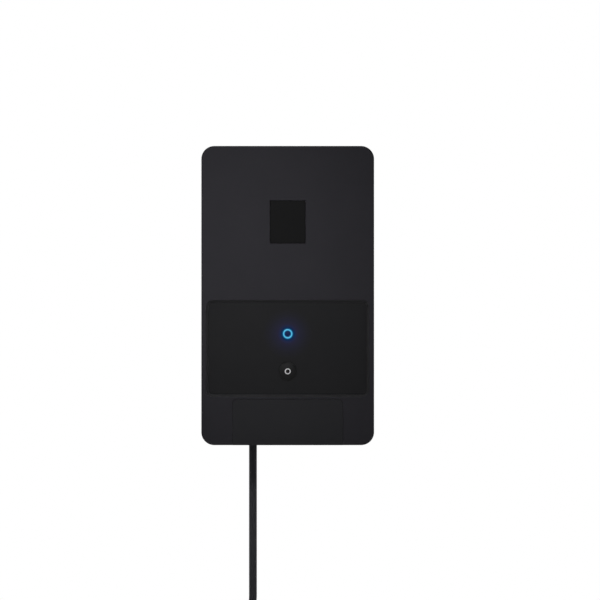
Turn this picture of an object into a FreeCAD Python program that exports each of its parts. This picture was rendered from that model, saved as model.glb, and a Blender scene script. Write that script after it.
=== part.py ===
"""Garden lighting smart hub: a wall-hung low-voltage power and control box with a mains lead.

Millimetres. +Z is up, +X is to the viewer's right, the front faces -Y and the wall is the plane y = 0.
The origin is the middle of the back face. A place "depth" is a distance in front of the wall.
"""

import FreeCAD
import Part
import math
import os
from FreeCAD import Vector

# Box, as the photo shows it from the front
BODY_WIDTH = 138.6
BODY_HEIGHT = 240.0
BODY_DEPTH = 78.0
CORNER_RADIUS = 10.4
FRONT_EDGE_RADIUS = 1.2
BACK_EDGE_RADIUS = 2.0
WALL = 3.2
BACK_WALL = 3.5
REAR_TRAY_DEPTH = 34.0

# Gaps shared by many pieces, and how far a cut runs past a face
SHADOW_GAP = 0.8
SLIDE_GAP = 0.3
SNUG_GAP = 0.1
CUT_PAST = 1.0
TOUCH = 0.01

# Seal between the two shells
GROOVE_WIDTH = 1.4
GROOVE_DEPTH = 3.2
SEAL_HEIGHT = 1.2
TONGUE_GAP = 0.1

# Recessed control panel
PANEL_SIDE_MARGIN = 3.8
PANEL_HEIGHT = 77.8
PANEL_ABOVE_COVER = 1.75
PANEL_CORNER_RADIUS = 5.4
PANEL_RECESS = 2.5
PANEL_DRAFT = 1.9
FASCIA_THICKNESS = 1.2
PANEL_WALL = 3.0

# Badge pocket, left bare
BADGE_WIDTH = 28.5
BADGE_HEIGHT = 34.4
BADGE_BELOW_TOP = 61.0
BADGE_SUNK = 0.8
BADGE_THICKNESS = 1.2
BADGE_CHAMFER = 0.3

# Status lamp
LAMP_ABOVE_PANEL_CENTRE = 11.8
RING_OUTER_DIAMETER = 8.2
RING_INNER_DIAMETER = 4.8
RING_PROUD = 0.25
RING_COLLAR_DIAMETER = 10.4
RING_COLLAR_HEIGHT = 1.2
RING_SLEEVE_WALL = 1.6
RING_SLEEVE_HEIGHT = 4.8
SOFT_RIM = 0.3
LED_LENGTH = 1.7
LED_WIDTH = 0.9
LED_HEIGHT = 0.7
LED_GAP = 0.3
LED_COUNT = 4

# Push button
BUTTON_BELOW_PANEL_CENTRE = 18.3
BUTTON_DIAMETER = 14.0
BUTTON_PROUD = 0.7
BUTTON_CROWN = 1.1
BUTTON_TRAVEL = 1.0
BUTTON_FLANGE_DIAMETER = 17.6
BUTTON_FLANGE_HEIGHT = 1.2
BUTTON_STEM_DIAMETER = 4.0
MARK_OUTER_DIAMETER = 5.1
MARK_INNER_DIAMETER = 2.7
MARK_DEPTH = 0.5
BOOT_THICKNESS = 0.8
BOOT_FOOT_DIAMETER = 19.0
BOOT_LIP_INSET = 1.0

# Switch under the button
SWITCH_SIDE = 6.0
SWITCH_HEIGHT = 3.5
PLUNGER_DIAMETER = 3.5
PLUNGER_PROUD = 2.5
PLUNGER_FIT = 0.08
SWITCH_FLOOR = 0.8

# Control board
BOARD_WIDTH = 112.0
BOARD_HEIGHT = 68.0
BOARD_ABOVE_PANEL_CENTRE = 0.5
BOARD_THICKNESS = 1.6
BOARD_BEHIND_FRONT = 19.6
BOARD_CORNER_RADIUS = 3.0
BOARD_HOLE_INSET = 6.0
BOARD_BOSS_DIAMETER = 7.0
BOARD_SCREW_DIAMETER = 2.2
BOARD_SCREW_LENGTH = 8.0
BOARD_SCREW_HEAD_DIAMETER = 4.6
BOARD_SCREW_HEAD_HEIGHT = 1.8
SCREW_END_ROOM = 1.0

# Parts on the back of the board: x and z from its middle, then width, height and depth
RELAY = (-4.0, 18.0, 19.0, 15.4, 15.2)
RELAY_ROUNDING = 0.8
MODULE = (36.0, 14.0, 18.0, 25.5, 0.8)
SHIELD = (36.0, 10.5, 15.6, 17.5, 3.2)
SINK_BASE = (38.0, -14.0, 21.6, 20.0, 2.4)
SINK_FIN_THICKNESS = 1.6
SINK_FIN_DEPTH = 15.0
SINK_FIN_COUNT = 5
TRANSISTOR = (12.0, -20.0, 10.0, 15.0, 4.4)
TRANSISTOR_SPACING = 12.0
CAPACITOR_X = 9.75
CAPACITOR_Z = -2.0
CAPACITOR_SPACING = 11.5
CAPACITOR_DIAMETER = 10.0
CAPACITOR_HEIGHT = 16.0
CAPACITOR_GROOVE_HEIGHT = 14.0
CAPACITOR_GROOVE_DEPTH = 0.4
SOCKET = (-20.0, -26.0, 26.0, 9.0, 11.0)
SOCKET_FLOOR = 3.0
SOCKET_SLOT_WIDTH = 3.2
SOCKET_SLOT_HEIGHT = 5.0
SOCKET_SLOT_SPACING = 6.0
SOCKET_SLOT_COUNT = 4
FUSE_X = -50.0
FUSE_Z = 8.0
FUSE_DIAMETER = 5.2
FUSE_LENGTH = 20.0
FUSE_RISE = 5.0
CLIP_WIDTH = 8.0
CLIP_HEIGHT = 5.0
CLIP_DEPTH = 7.0
CLIP_SPACING = 15.0

# Wiring bay behind the lower cover
COVER_WIDTH = 88.4
COVER_HEIGHT = 36.85
COVER_CORNER_RADIUS = 3.6
COVER_THICKNESS = 2.4
COVER_SEAM = 0.25
COVER_EDGE_RADIUS = 0.35
COVER_FLOOR = 2.6
COVER_CHEEK = 2.0
COVER_CHEEK_DEPTH = 8.0
COVER_CHEEK_TOP_GAP = 6.0
RAIL_TONGUE = 1.5
RAIL_TONGUE_THICKNESS = 2.4
RAIL_FROM_FRONT = 5.9
COVER_RIB_WIDTH = 1.6
COVER_RIB_HEIGHT = 1.6
BAY_WALL = 3.0
BAY_BACK_DEPTH = 37.0
BAY_LEDGE = 2.7
OUTLET_WIDTH = 9.0
OUTLET_REACH = 16.0
OUTLET_PITCH = 24.0
OUTLET_COUNT = 3

# Screw terminals in the bay
TERMINAL_WIDTH = 13.0
TERMINAL_COUNT = 4
TERMINAL_HEIGHT = 15.0
TERMINAL_DEPTH = 15.0
TERMINAL_BARRIER = 1.6
TERMINAL_BARRIER_PROUD = 3.0
CLAMP_WIDTH = 7.4
CLAMP_HEIGHT = 9.0
CLAMP_DEPTH = 8.0
CLAMP_WIRE_DIAMETER = 4.2
CLAMP_INSET = 3.0
TERMINAL_SCREW_DIAMETER = 3.4
TERMINAL_SCREW_HEAD_DIAMETER = 6.2
TERMINAL_SCREW_HEAD_HEIGHT = 2.0
TERMINAL_SCREW_SLOT = 0.9
GROMMET_DIAMETER = 13.0
GROMMET_FLANGE = 1.6
GROMMET_X = 0.0

# Wall fixings
KEYHOLE_X = 46.0
KEYHOLE_BELOW_TOP = 22.0
KEYHOLE_ENTRY_DIAMETER = 9.4
KEYHOLE_SLOT_WIDTH = 4.8
KEYHOLE_RISE = 9.0
KEYHOLE_PLATE = 2.4
KEYHOLE_POCKET_DEPTH = 7.2
KEYHOLE_POCKET_WIDTH = 11.4
KEYHOLE_POCKET_RADIUS = 2.0
KEYHOLE_POCKET_ROOM = 1.0
KEYHOLE_BOX_WALL = 1.8
FIXING_X = 37.0
FIXING_BELOW_CEILING = 5.3
FIXING_HOLE_DIAMETER = 5.0
FIXING_TUBE_DIAMETER = 9.0
FIXING_TUBE_LAP = 0.5

# Screws that close the box
CLOSING_SCREW_FROM_SIDE = 10.3
CLOSING_SCREW_INSET = 11.5
CLOSING_SCREW_ABOVE_BOARD = 8.0
CLOSING_BOSS_DIAMETER = 9.0
CLOSING_BOSS_WEB = 1.6
CLOSING_HEAD_DIAMETER = 6.4
CLOSING_HEAD_HEIGHT = 2.6
CLOSING_SHANK_DIAMETER = 3.4
CLOSING_SHANK_LENGTH = 26.0
CLOSING_HEAD_DEPTH = 22.0

# Stiffening ribs
RIB_THICKNESS = 1.6
RIB_SPACING = 24.0
RIB_COLUMNS = 4
FRONT_RIB_HEIGHT = 3.0
BADGE_RIB_REACH = 15.0
BAY_RIB_HEIGHT = 8.0
BAY_RIB_BELOW_FIXING = 4.0
REAR_RIB_HEIGHT = 2.0
REAR_RIB_X = 50.0
REAR_RIB_SPAN = 52.0
REAR_RIB_ABOVE_CONNECTOR = 29.0

# Toroidal transformer, as large as the room between the board and the top allows
TOROID_ABOVE_BOARD = 3.0
TOROID_BELOW_TOP = 23.0
TOROID_BORE_SHARE = 0.3725
TOROID_HEIGHT = 44.0
TOROID_ROUNDING_SHARE = 0.34
PAD_THICKNESS = 2.4
PAD_INSET = 5.0
PAD_BORE_ROOM = 3.0
PAD_RIM = 1.6
DISH_SHARE = 0.745
DISH_THICKNESS = 1.4
DISH_DROP = 5.0
DISH_WELL_SHARE = 0.294
TOROID_BOSS_DIAMETER = 15.0
TOROID_BOSS_HEIGHT = 14.0
INSERT_DIAMETER = 9.0
INSERT_LENGTH = 9.0
BOLT_DIAMETER = 6.0
BOLT_HEAD_ACROSS_FLATS = 10.0
BOLT_HEAD_HEIGHT = 4.0
BOLT_FIT = 0.05
CUTOUT_LENGTH = 16.0
CUTOUT_WIDTH = 7.0
CUTOUT_HEIGHT = 4.0
CUTOUT_ROUNDING = 1.0
CUTOUT_GAP = 1.5

# Mains lead
CORD_DIAMETER = 6.4
CORD_X = -28.6
CORD_DEPTH = 19.0
WELL_DEPTH = 20.0
WELL_DIAMETER = 15.0
WELL_WALL = 2.2
RELIEF_TIP_DIAMETER = 7.6
RELIEF_ROOT_DIAMETER = 11.0
RELIEF_NECK_DIAMETER = 9.6
RELIEF_HEAD_DIAMETER = 12.4
RELIEF_HEAD_HEIGHT = 2.4
RELIEF_GROOVES = 4
RELIEF_GROOVE_WIDTH = 1.4
RELIEF_GROOVE_RIM = 0.2
CLAMP_BAR_WIDTH = 26.0
CLAMP_BAR_HEIGHT = 8.0
CLAMP_BAR_THICKNESS = 3.0
CLAMP_POST_SPACING = 19.0
CLAMP_POST_DIAMETER = 6.4
CLAMP_SCREW_DIAMETER = 2.6
CLAMP_SCREW_LENGTH = 9.0
CLAMP_SCREW_HEAD_HEIGHT = 1.8
CLAMP_SCREW_END_ROOM = 0.5
CLAMP_ABOVE_WELL = 20.0
CLAMP_SQUEEZE = 0.6
CLAMP_REST_WIDTH = 8.0
CLAMP_REST_HEIGHT = 6.0
SHEATH_PAST_CLAMP = 8.0
CORD_BEND_Z = -263.0
CORD_BEND_RUN = 34.0
ARC_SHARE = 0.45

# Put-away coil of the lead
COIL_MIDDLE_RADIUS = 35.0
COIL_SPACE = 0.6
COIL_LAYERS = 4
COIL_HALF_TURNS = 3
COIL_LAST_HALF_TURNS = 2
CLIMB_LEAN = 1.6
COIL_LOOKS = 2400
FLARE_RADIUS = 58.0
TIE_WIDTH = 8.0
TIE_THICKNESS = 1.6
TIE_ANGLE = 20.0
TIE_ROUNDING = 2.0
TIE_SECTOR = 12.0

# Plug
PLUG_GROOVES = 4
PLUG_GROOVE_WIDTH = 1.6
PLUG_GROOVE_SPACING = 4.4
PLUG_GROOVE_START = 4.0
PLUG_GROOVE_RIM = 0.3
PLUG_WAIST_WIDTH = 3.0
PLUG_WAIST_THICKNESS = 2.0
PLUG_NECK_RADIUS = 5.6
PLUG_SLEEVE_LENGTH = 22.0
PLUG_SLEEVE_TIP_DIAMETER = 8.4
PLUG_SLEEVE_ROOT_DIAMETER = 13.0
PLUG_SHOULDER_LENGTH = 9.0
PLUG_BODY_LENGTH = 24.0
PLUG_WIDTH = 28.0
PLUG_THICKNESS = 25.0
PLUG_CORNER_RADIUS = 6.0
BLADE_WIDTH = 6.35
BLADE_THICKNESS = 1.5
BLADE_LENGTH = 17.5
BLADE_SPACING = 12.7
GROUND_DIAMETER = 4.76
GROUND_LENGTH = 20.5
GROUND_OFFSET = 11.86
BLADE_OFFSET = 4.0
BLADE_CHAMFER = 0.4
GROUND_TIP_FLAT = 0.3

# Wires inside
MAINS_WIRE_DIAMETER = 2.4
LOW_WIRE_DIAMETER = 2.8
WIRE_PITCH = 3.2
CONNECTOR_WIDTH = 20.0
CONNECTOR_HEIGHT = 16.0
CONNECTOR_THICKNESS = 13.0
CONNECTOR_ABOVE_CLAMP = 31.0
CONNECTOR_ROUNDING = 1.2
CONNECTOR_SLOT_WIDTH = 1.6
CONNECTOR_SLOT_FLOOR = 4.0
CONNECTOR_WELL_DIAMETER = 4.0
CONNECTOR_WELL_FLOOR = 5.0
WIRE_END_GAP = 0.4
MAINS_WIRE_SPACING = 2.64
MAINS_WIRE_BEND_SHARE = 0.32
PRIMARY_WIRE_RISE = 16.0
PRIMARY_WIRE_ASIDE = 12.0
PRIMARY_WIRE_FORWARD = 4.0
PRIMARY_WIRE_END = 15.0
SECONDARY_WIRE_X = 14.0
SECONDARY_WIRE_SPACING = 6.4
SECONDARY_WIRE_DEPTH = 30.0
SECONDARY_WIRE_BELOW_BOARD_TOP = 10.0
OUTPUT_WIRE_BEHIND_SPLIT = 5.0

# Values worked out from the sizes above
FRONT = -BODY_DEPTH
TOP = BODY_HEIGHT / 2
BOTTOM = -BODY_HEIGHT / 2
SPLIT = -REAR_TRAY_DEPTH
BACK_INSIDE = -BACK_WALL
FRONT_INSIDE = FRONT + WALL
FASCIA_FACE = FRONT + PANEL_RECESS
FASCIA_BACK = FASCIA_FACE + FASCIA_THICKNESS
PANEL_INSIDE = FASCIA_BACK + PANEL_WALL
PANEL_WIDTH = BODY_WIDTH - 2 * PANEL_SIDE_MARGIN
FLOOR_WIDTH = PANEL_WIDTH - 2 * PANEL_DRAFT
FLOOR_HEIGHT = PANEL_HEIGHT - 2 * PANEL_DRAFT
FLOOR_RADIUS = PANEL_CORNER_RADIUS - PANEL_DRAFT
BOARD_BACK = FRONT + BOARD_BEHIND_FRONT
BOARD_FACE = BOARD_BACK - BOARD_THICKNESS
COVER_TOP = BOTTOM + COVER_HEIGHT
PANEL_CENTRE_Z = COVER_TOP + PANEL_ABOVE_COVER + PANEL_HEIGHT / 2
LAMP_Z = PANEL_CENTRE_Z + LAMP_ABOVE_PANEL_CENTRE
BUTTON_Z = PANEL_CENTRE_Z - BUTTON_BELOW_PANEL_CENTRE
BOARD_CENTRE_Z = PANEL_CENTRE_Z + BOARD_ABOVE_PANEL_CENTRE
BOARD_TOP = BOARD_CENTRE_Z + BOARD_HEIGHT / 2
BADGE_CENTRE_Z = TOP - BADGE_BELOW_TOP
KEYHOLE_Z = TOP - KEYHOLE_BELOW_TOP
CLOSING_SCREW_X = BODY_WIDTH / 2 - CLOSING_SCREW_FROM_SIDE
CLOSING_SCREW_TOP = TOP - CLOSING_SCREW_INSET
CLOSING_SCREW_MIDDLE = BOARD_TOP + CLOSING_SCREW_ABOVE_BOARD
CLOSING_SCREW_BOTTOM = BOTTOM + CLOSING_SCREW_INSET
TOROID_LOW = BOARD_TOP + TOROID_ABOVE_BOARD
TOROID_HIGH = TOP - TOROID_BELOW_TOP
TOROID_Z = (TOROID_LOW + TOROID_HIGH) / 2
TOROID_DIAMETER = TOROID_HIGH - TOROID_LOW
TOROID_BORE = TOROID_BORE_SHARE * TOROID_DIAMETER
TOROID_ROUNDING = TOROID_ROUNDING_SHARE * (TOROID_DIAMETER - TOROID_BORE) / 2
PAD_DIAMETER = TOROID_DIAMETER - 2 * PAD_INSET
PAD_BORE = TOROID_BORE + 2 * PAD_BORE_ROOM
DISH_DIAMETER = DISH_SHARE * TOROID_DIAMETER
DISH_WELL_DIAMETER = DISH_WELL_SHARE * TOROID_DIAMETER
BAY_TOP = COVER_TOP + COVER_SEAM
BAY_HALF_WIDTH = COVER_WIDTH / 2 + COVER_SEAM - BAY_LEDGE
COVER_BACK = FRONT + COVER_THICKNESS
LEDGE_FACE = COVER_BACK + SNUG_GAP
BAY_BACK = -BAY_BACK_DEPTH
BAY_CEILING = BAY_TOP - BAY_WALL
FIXING_Z = BAY_CEILING - FIXING_BELOW_CEILING
WELL_TOP = BOTTOM + WELL_DEPTH
CLAMP_Z = WELL_TOP + CLAMP_ABOVE_WELL
CONNECTOR_Z = CLAMP_Z + CONNECTOR_ABOVE_CLAMP
CONNECTOR_X = CORD_X
CORD_Y = -CORD_DEPTH
TURN_PITCH = CORD_DIAMETER + COIL_SPACE
TURN_STEP = TURN_PITCH / 2


def outline(width, height, radius, y, x=0.0, z=0.0):
    """Upright outline with round corners, square to Y, centred on x and z."""
    half_w = width / 2 - radius
    half_h = height / 2 - radius
    corners = ((half_w, half_h, 0), (-half_w, half_h, 90), (-half_w, -half_h, 180), (half_w, -half_h, 270))

    def on_corner(corner, turn):
        angle = math.radians(corner[2] + turn)
        return Vector(x + corner[0] + radius * math.cos(angle), y, z + corner[1] + radius * math.sin(angle))

    edges = []
    for index, corner in enumerate(corners):
        following = corners[(index + 1) % 4]
        edges.append(Part.Arc(on_corner(corner, 0), on_corner(corner, 45), on_corner(corner, 90)).toShape())
        edges.append(Part.LineSegment(on_corner(corner, 90), on_corner(following, 0)).toShape())
    return Part.Wire(edges)


def level_outline(width, thickness, radius, middle):
    """Level outline with round corners, across X and Y."""
    loop = outline(width, thickness, radius, 0)
    loop.rotate(Vector(0, 0, 0), Vector(1, 0, 0), 90)
    loop.translate(middle)
    return loop


def plate(width, height, radius, y_from, y_to, x=0.0, z=0.0):
    """Round-cornered block between two places along Y."""
    face = Part.Face(outline(width, height, radius, y_from, x, z))
    return face.extrude(Vector(0, y_to - y_from, 0))


def block(x_from, x_to, y_from, y_to, z_from, z_to):
    """Plain block between three pairs of places."""
    corner = Vector(min(x_from, x_to), min(y_from, y_to), min(z_from, z_to))
    return Part.makeBox(abs(x_to - x_from), abs(y_to - y_from), abs(z_to - z_from), corner)


def rod(diameter, y_from, y_to, x=0.0, z=0.0):
    """Round bar along Y."""
    start = Vector(x, min(y_from, y_to), z)
    return Part.makeCylinder(diameter / 2, abs(y_to - y_from), start, Vector(0, 1, 0))


def upright(diameter, z_from, z_to, x, y):
    """Round bar along Z."""
    start = Vector(x, y, min(z_from, z_to))
    return Part.makeCylinder(diameter / 2, abs(z_to - z_from), start, Vector(0, 0, 1))


def turned(profile, x=0.0, z=0.0):
    """Solid of revolution about a line along Y, from (radius, y) points joined by straight lines."""
    points = [Vector(x + radius, y, z) for radius, y in profile]
    face = Part.Face(Part.makePolygon(points + points[:1]))
    return face.revolve(Vector(x, 0, z), Vector(0, 1, 0), 360)


def joined(shapes):
    """All the shapes as one solid."""
    first, *rest = shapes
    return first.fuse(rest).removeSplitter() if rest else first


def group(shapes):
    """Several separate solids in one node."""
    return Part.makeCompound([solid for shape in shapes for solid in shape.Solids])


def closing_screw_places():
    """Where the six screws join the shells."""
    rows = (CLOSING_SCREW_TOP, CLOSING_SCREW_MIDDLE, CLOSING_SCREW_BOTTOM)
    return [(side * CLOSING_SCREW_X, z) for z in rows for side in (-1, 1)]


def board_screw_places():
    """The four holes of the control board."""
    x = BOARD_WIDTH / 2 - BOARD_HOLE_INSET
    z = BOARD_HEIGHT / 2 - BOARD_HOLE_INSET
    return [(sx * x, BOARD_CENTRE_Z + sz * z) for sz in (-1, 1) for sx in (-1, 1)]


def terminal_places():
    """X of each terminal."""
    first = -(TERMINAL_COUNT - 1) * TERMINAL_WIDTH / 2
    return [first + index * TERMINAL_WIDTH for index in range(TERMINAL_COUNT)]


def outlet_places():
    """X of each cable slot in the cover's floor."""
    first = -(OUTLET_COUNT - 1) * OUTLET_PITCH / 2
    return [first + index * OUTLET_PITCH for index in range(OUTLET_COUNT)]


def shell_ring(y_from, y_to, width):
    """Ring that follows the middle of the side wall."""
    inset = (WALL - width) / 2
    outer = plate(BODY_WIDTH - 2 * inset, BODY_HEIGHT - 2 * inset, CORNER_RADIUS - inset, y_from, y_to)
    inset += width
    inner = plate(BODY_WIDTH - 2 * inset, BODY_HEIGHT - 2 * inset, CORNER_RADIUS - inset, y_from, y_to)
    return outer.cut(inner)


def edges_at(shape, y):
    """Edges that lie in one plane square to Y."""
    box_of = [(edge, edge.BoundBox) for edge in shape.Edges]
    return [edge for edge, box in box_of if abs(box.YMin - y) < 1e-3 and abs(box.YMax - y) < 1e-3]


def hollow(y_from, y_to):
    """Inside of the box between two places."""
    return plate(BODY_WIDTH - 2 * WALL, BODY_HEIGHT - 2 * WALL, CORNER_RADIUS - WALL, y_from, y_to)


def front_housing():
    """Front shell: recess, badge pocket, bay, bosses, ribs and the tongue of the seal."""
    skin = plate(BODY_WIDTH, BODY_HEIGHT, CORNER_RADIUS, FRONT, SPLIT)
    skin = skin.makeFillet(FRONT_EDGE_RADIUS, edges_at(skin, FRONT))
    skin = skin.makeChamfer(SHADOW_GAP, edges_at(skin, SPLIT))
    skin = skin.cut(hollow(FRONT_INSIDE, SPLIT))
    wide = BODY_WIDTH - WALL
    slab = plate(wide, PANEL_HEIGHT, PANEL_CORNER_RADIUS, FRONT_INSIDE, PANEL_INSIDE, 0, PANEL_CENTRE_Z)
    added = [slab]
    bay_width = 2 * (BAY_HALF_WIDTH + BAY_WALL)
    added.append(block(-bay_width / 2, bay_width / 2, FRONT_INSIDE, SPLIT, BOTTOM, BAY_TOP))
    half_web = CLOSING_BOSS_WEB / 2
    for x, z in closing_screw_places():
        added.append(rod(CLOSING_BOSS_DIAMETER, FRONT_INSIDE, SPLIT, x, z))
        edge = math.copysign(BODY_WIDTH / 2 - WALL / 2, x)
        added.append(block(x, edge, FRONT_INSIDE, SPLIT, z - half_web, z + half_web))
    for x, z in board_screw_places():
        added.append(rod(BOARD_BOSS_DIAMETER, PANEL_INSIDE, BOARD_FACE, x, z))
    added.append(badge_backing())
    added.extend(front_ribs())
    sleeve = RING_COLLAR_DIAMETER + 2 * RING_SLEEVE_WALL
    added.append(rod(sleeve, PANEL_INSIDE, PANEL_INSIDE + RING_SLEEVE_HEIGHT, 0, LAMP_Z))
    guide_outer = BUTTON_FLANGE_DIAMETER + 2 * SLIDE_GAP + 2 * BOOT_THICKNESS
    added.append(rod(guide_outer, PANEL_INSIDE, PANEL_INSIDE + 2 * BUTTON_TRAVEL, 0, BUTTON_Z))
    shell = joined([skin] + added)
    shell = shell.common(full_outline())
    removed = [panel_recess(), badge_pocket(), lamp_bore(), button_bore()]
    removed.extend(bay_space())
    for x, z in closing_screw_places():
        removed.append(rod(CLOSING_SHANK_DIAMETER + 2 * BOLT_FIT, SPLIT, SPLIT - CLOSING_SHANK_LENGTH, x, z))
    screw_hole = BOARD_SCREW_DIAMETER + 2 * BOLT_FIT
    for x, z in board_screw_places():
        removed.append(rod(screw_hole, BOARD_FACE, BOARD_FACE - BOARD_SCREW_LENGTH, x, z))
    for side in (-1, 1):
        opening = FIXING_TUBE_DIAMETER - 2 * FIXING_TUBE_LAP
        removed.append(rod(opening, BAY_BACK, SPLIT, side * FIXING_X, FIXING_Z))
    removed.append(rod(GROMMET_DIAMETER - 2 * GROMMET_FLANGE, BAY_BACK, SPLIT, GROMMET_X, FIXING_Z))
    shell = shell.cut(Part.makeCompound(removed))
    tongue = shell_ring(SPLIT, SPLIT + GROOVE_DEPTH - SEAL_HEIGHT, GROOVE_WIDTH - 2 * TONGUE_GAP)
    return joined([shell, tongue])


def full_outline():
    """The box's outline with its soft front edge, to trim what is added inside."""
    whole = plate(BODY_WIDTH, BODY_HEIGHT, CORNER_RADIUS, FRONT, SPLIT)
    return whole.makeFillet(FRONT_EDGE_RADIUS, edges_at(whole, FRONT))


def badge_backing():
    """Thicker wall behind the badge pocket."""
    reach = 2 * WALL
    low = BADGE_CENTRE_Z - BADGE_HEIGHT / 2 - reach / 2
    high = BADGE_CENTRE_Z + BADGE_HEIGHT / 2 + reach / 2
    half = BADGE_WIDTH / 2 + reach / 2
    return block(-half, half, FRONT_INSIDE, FRONT_INSIDE + BADGE_THICKNESS, low, high)


def front_ribs():
    """Stiffening ribs behind the upper face and beside the bay."""
    ribs = []
    half = RIB_THICKNESS / 2
    rise = FRONT_INSIDE + FRONT_RIB_HEIGHT
    panel_top = PANEL_CENTRE_Z + PANEL_HEIGHT / 2
    first = -(RIB_COLUMNS - 1) * RIB_SPACING / 2
    for index in range(RIB_COLUMNS):
        x = first + index * RIB_SPACING
        ribs.append(block(x - half, x + half, FRONT_INSIDE, rise, panel_top, TOP - WALL))
    side_wall = BODY_WIDTH / 2 - WALL
    for reach in (BADGE_RIB_REACH, BADGE_RIB_REACH + RIB_SPACING):
        for z in (BADGE_CENTRE_Z - reach, BADGE_CENTRE_Z + reach):
            ribs.append(block(-side_wall, side_wall, FRONT_INSIDE, rise, z - half, z + half))
    z = FIXING_Z - BAY_RIB_BELOW_FIXING
    rise = FRONT_INSIDE + BAY_RIB_HEIGHT
    for side in (-1, 1):
        inner = side * (BAY_HALF_WIDTH + BAY_WALL)
        ribs.append(block(inner, side * side_wall, FRONT_INSIDE, rise, z - half, z + half))
    return ribs


def panel_recess():
    """Sunk field with sloped walls, and the straight seat of the fascia under it."""
    slope = CUT_PAST * PANEL_DRAFT / PANEL_RECESS
    wide = PANEL_WIDTH + 2 * slope
    high = PANEL_HEIGHT + 2 * slope
    mouth = outline(wide, high, PANEL_CORNER_RADIUS + slope, FRONT - CUT_PAST, 0, PANEL_CENTRE_Z)
    floor = outline(FLOOR_WIDTH, FLOOR_HEIGHT, FLOOR_RADIUS, FASCIA_FACE, 0, PANEL_CENTRE_Z)
    sloped = Part.makeLoft([mouth, floor], True, True)
    seat = plate(FLOOR_WIDTH, FLOOR_HEIGHT, FLOOR_RADIUS, FASCIA_FACE - TOUCH, FASCIA_BACK, 0, PANEL_CENTRE_Z)
    return joined([sloped, seat])


def badge_pocket():
    """Square-cornered pocket of the badge."""
    deep = BADGE_SUNK + BADGE_THICKNESS
    low = BADGE_CENTRE_Z - BADGE_HEIGHT / 2
    high = BADGE_CENTRE_Z + BADGE_HEIGHT / 2
    return block(-BADGE_WIDTH / 2, BADGE_WIDTH / 2, FRONT - CUT_PAST, FRONT + deep, low, high)


def lamp_bore():
    """Stepped hole for the light guide."""
    inside = PANEL_INSIDE + RING_SLEEVE_HEIGHT
    narrow = rod(RING_OUTER_DIAMETER + 2 * SNUG_GAP, FASCIA_FACE, inside, 0, LAMP_Z)
    wide = rod(RING_COLLAR_DIAMETER + 2 * SNUG_GAP, PANEL_INSIDE - RING_COLLAR_HEIGHT, inside, 0, LAMP_Z)
    return joined([narrow, wide])


def button_bore():
    """Hole for the button and the room its flange travels in."""
    through = rod(BUTTON_DIAMETER + 2 * SLIDE_GAP, FASCIA_FACE, PANEL_INSIDE, 0, BUTTON_Z)
    wide = BUTTON_FLANGE_DIAMETER + 2 * SLIDE_GAP
    guide = rod(wide, PANEL_INSIDE, PANEL_INSIDE + 2 * BUTTON_TRAVEL, 0, BUTTON_Z)
    return joined([through, guide])


def bay_space():
    """What is open in the wiring bay: cover rebate, room, open bottom and the rail grooves."""
    half = COVER_WIDTH / 2 + COVER_SEAM
    radius = COVER_CORNER_RADIUS + COVER_SEAM
    tall = BAY_TOP - BOTTOM + radius
    rebate = plate(2 * half, tall, radius, FRONT - CUT_PAST, LEDGE_FACE, 0, BAY_TOP - tall / 2)
    below = BOTTOM - CUT_PAST
    room = block(-BAY_HALF_WIDTH, BAY_HALF_WIDTH, LEDGE_FACE - TOUCH, BAY_BACK, below, BAY_CEILING)
    rail_from = FRONT + RAIL_FROM_FRONT - SLIDE_GAP
    rail_to = rail_from + RAIL_TONGUE_THICKNESS + 2 * SLIDE_GAP
    groove_top = BAY_CEILING - COVER_CHEEK_TOP_GAP + 2 * SLIDE_GAP
    reach = BAY_HALF_WIDTH + RAIL_TONGUE
    grooves = block(-reach, reach, rail_from, rail_to, below, groove_top)
    return [rebate, room, grooves]


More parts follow.
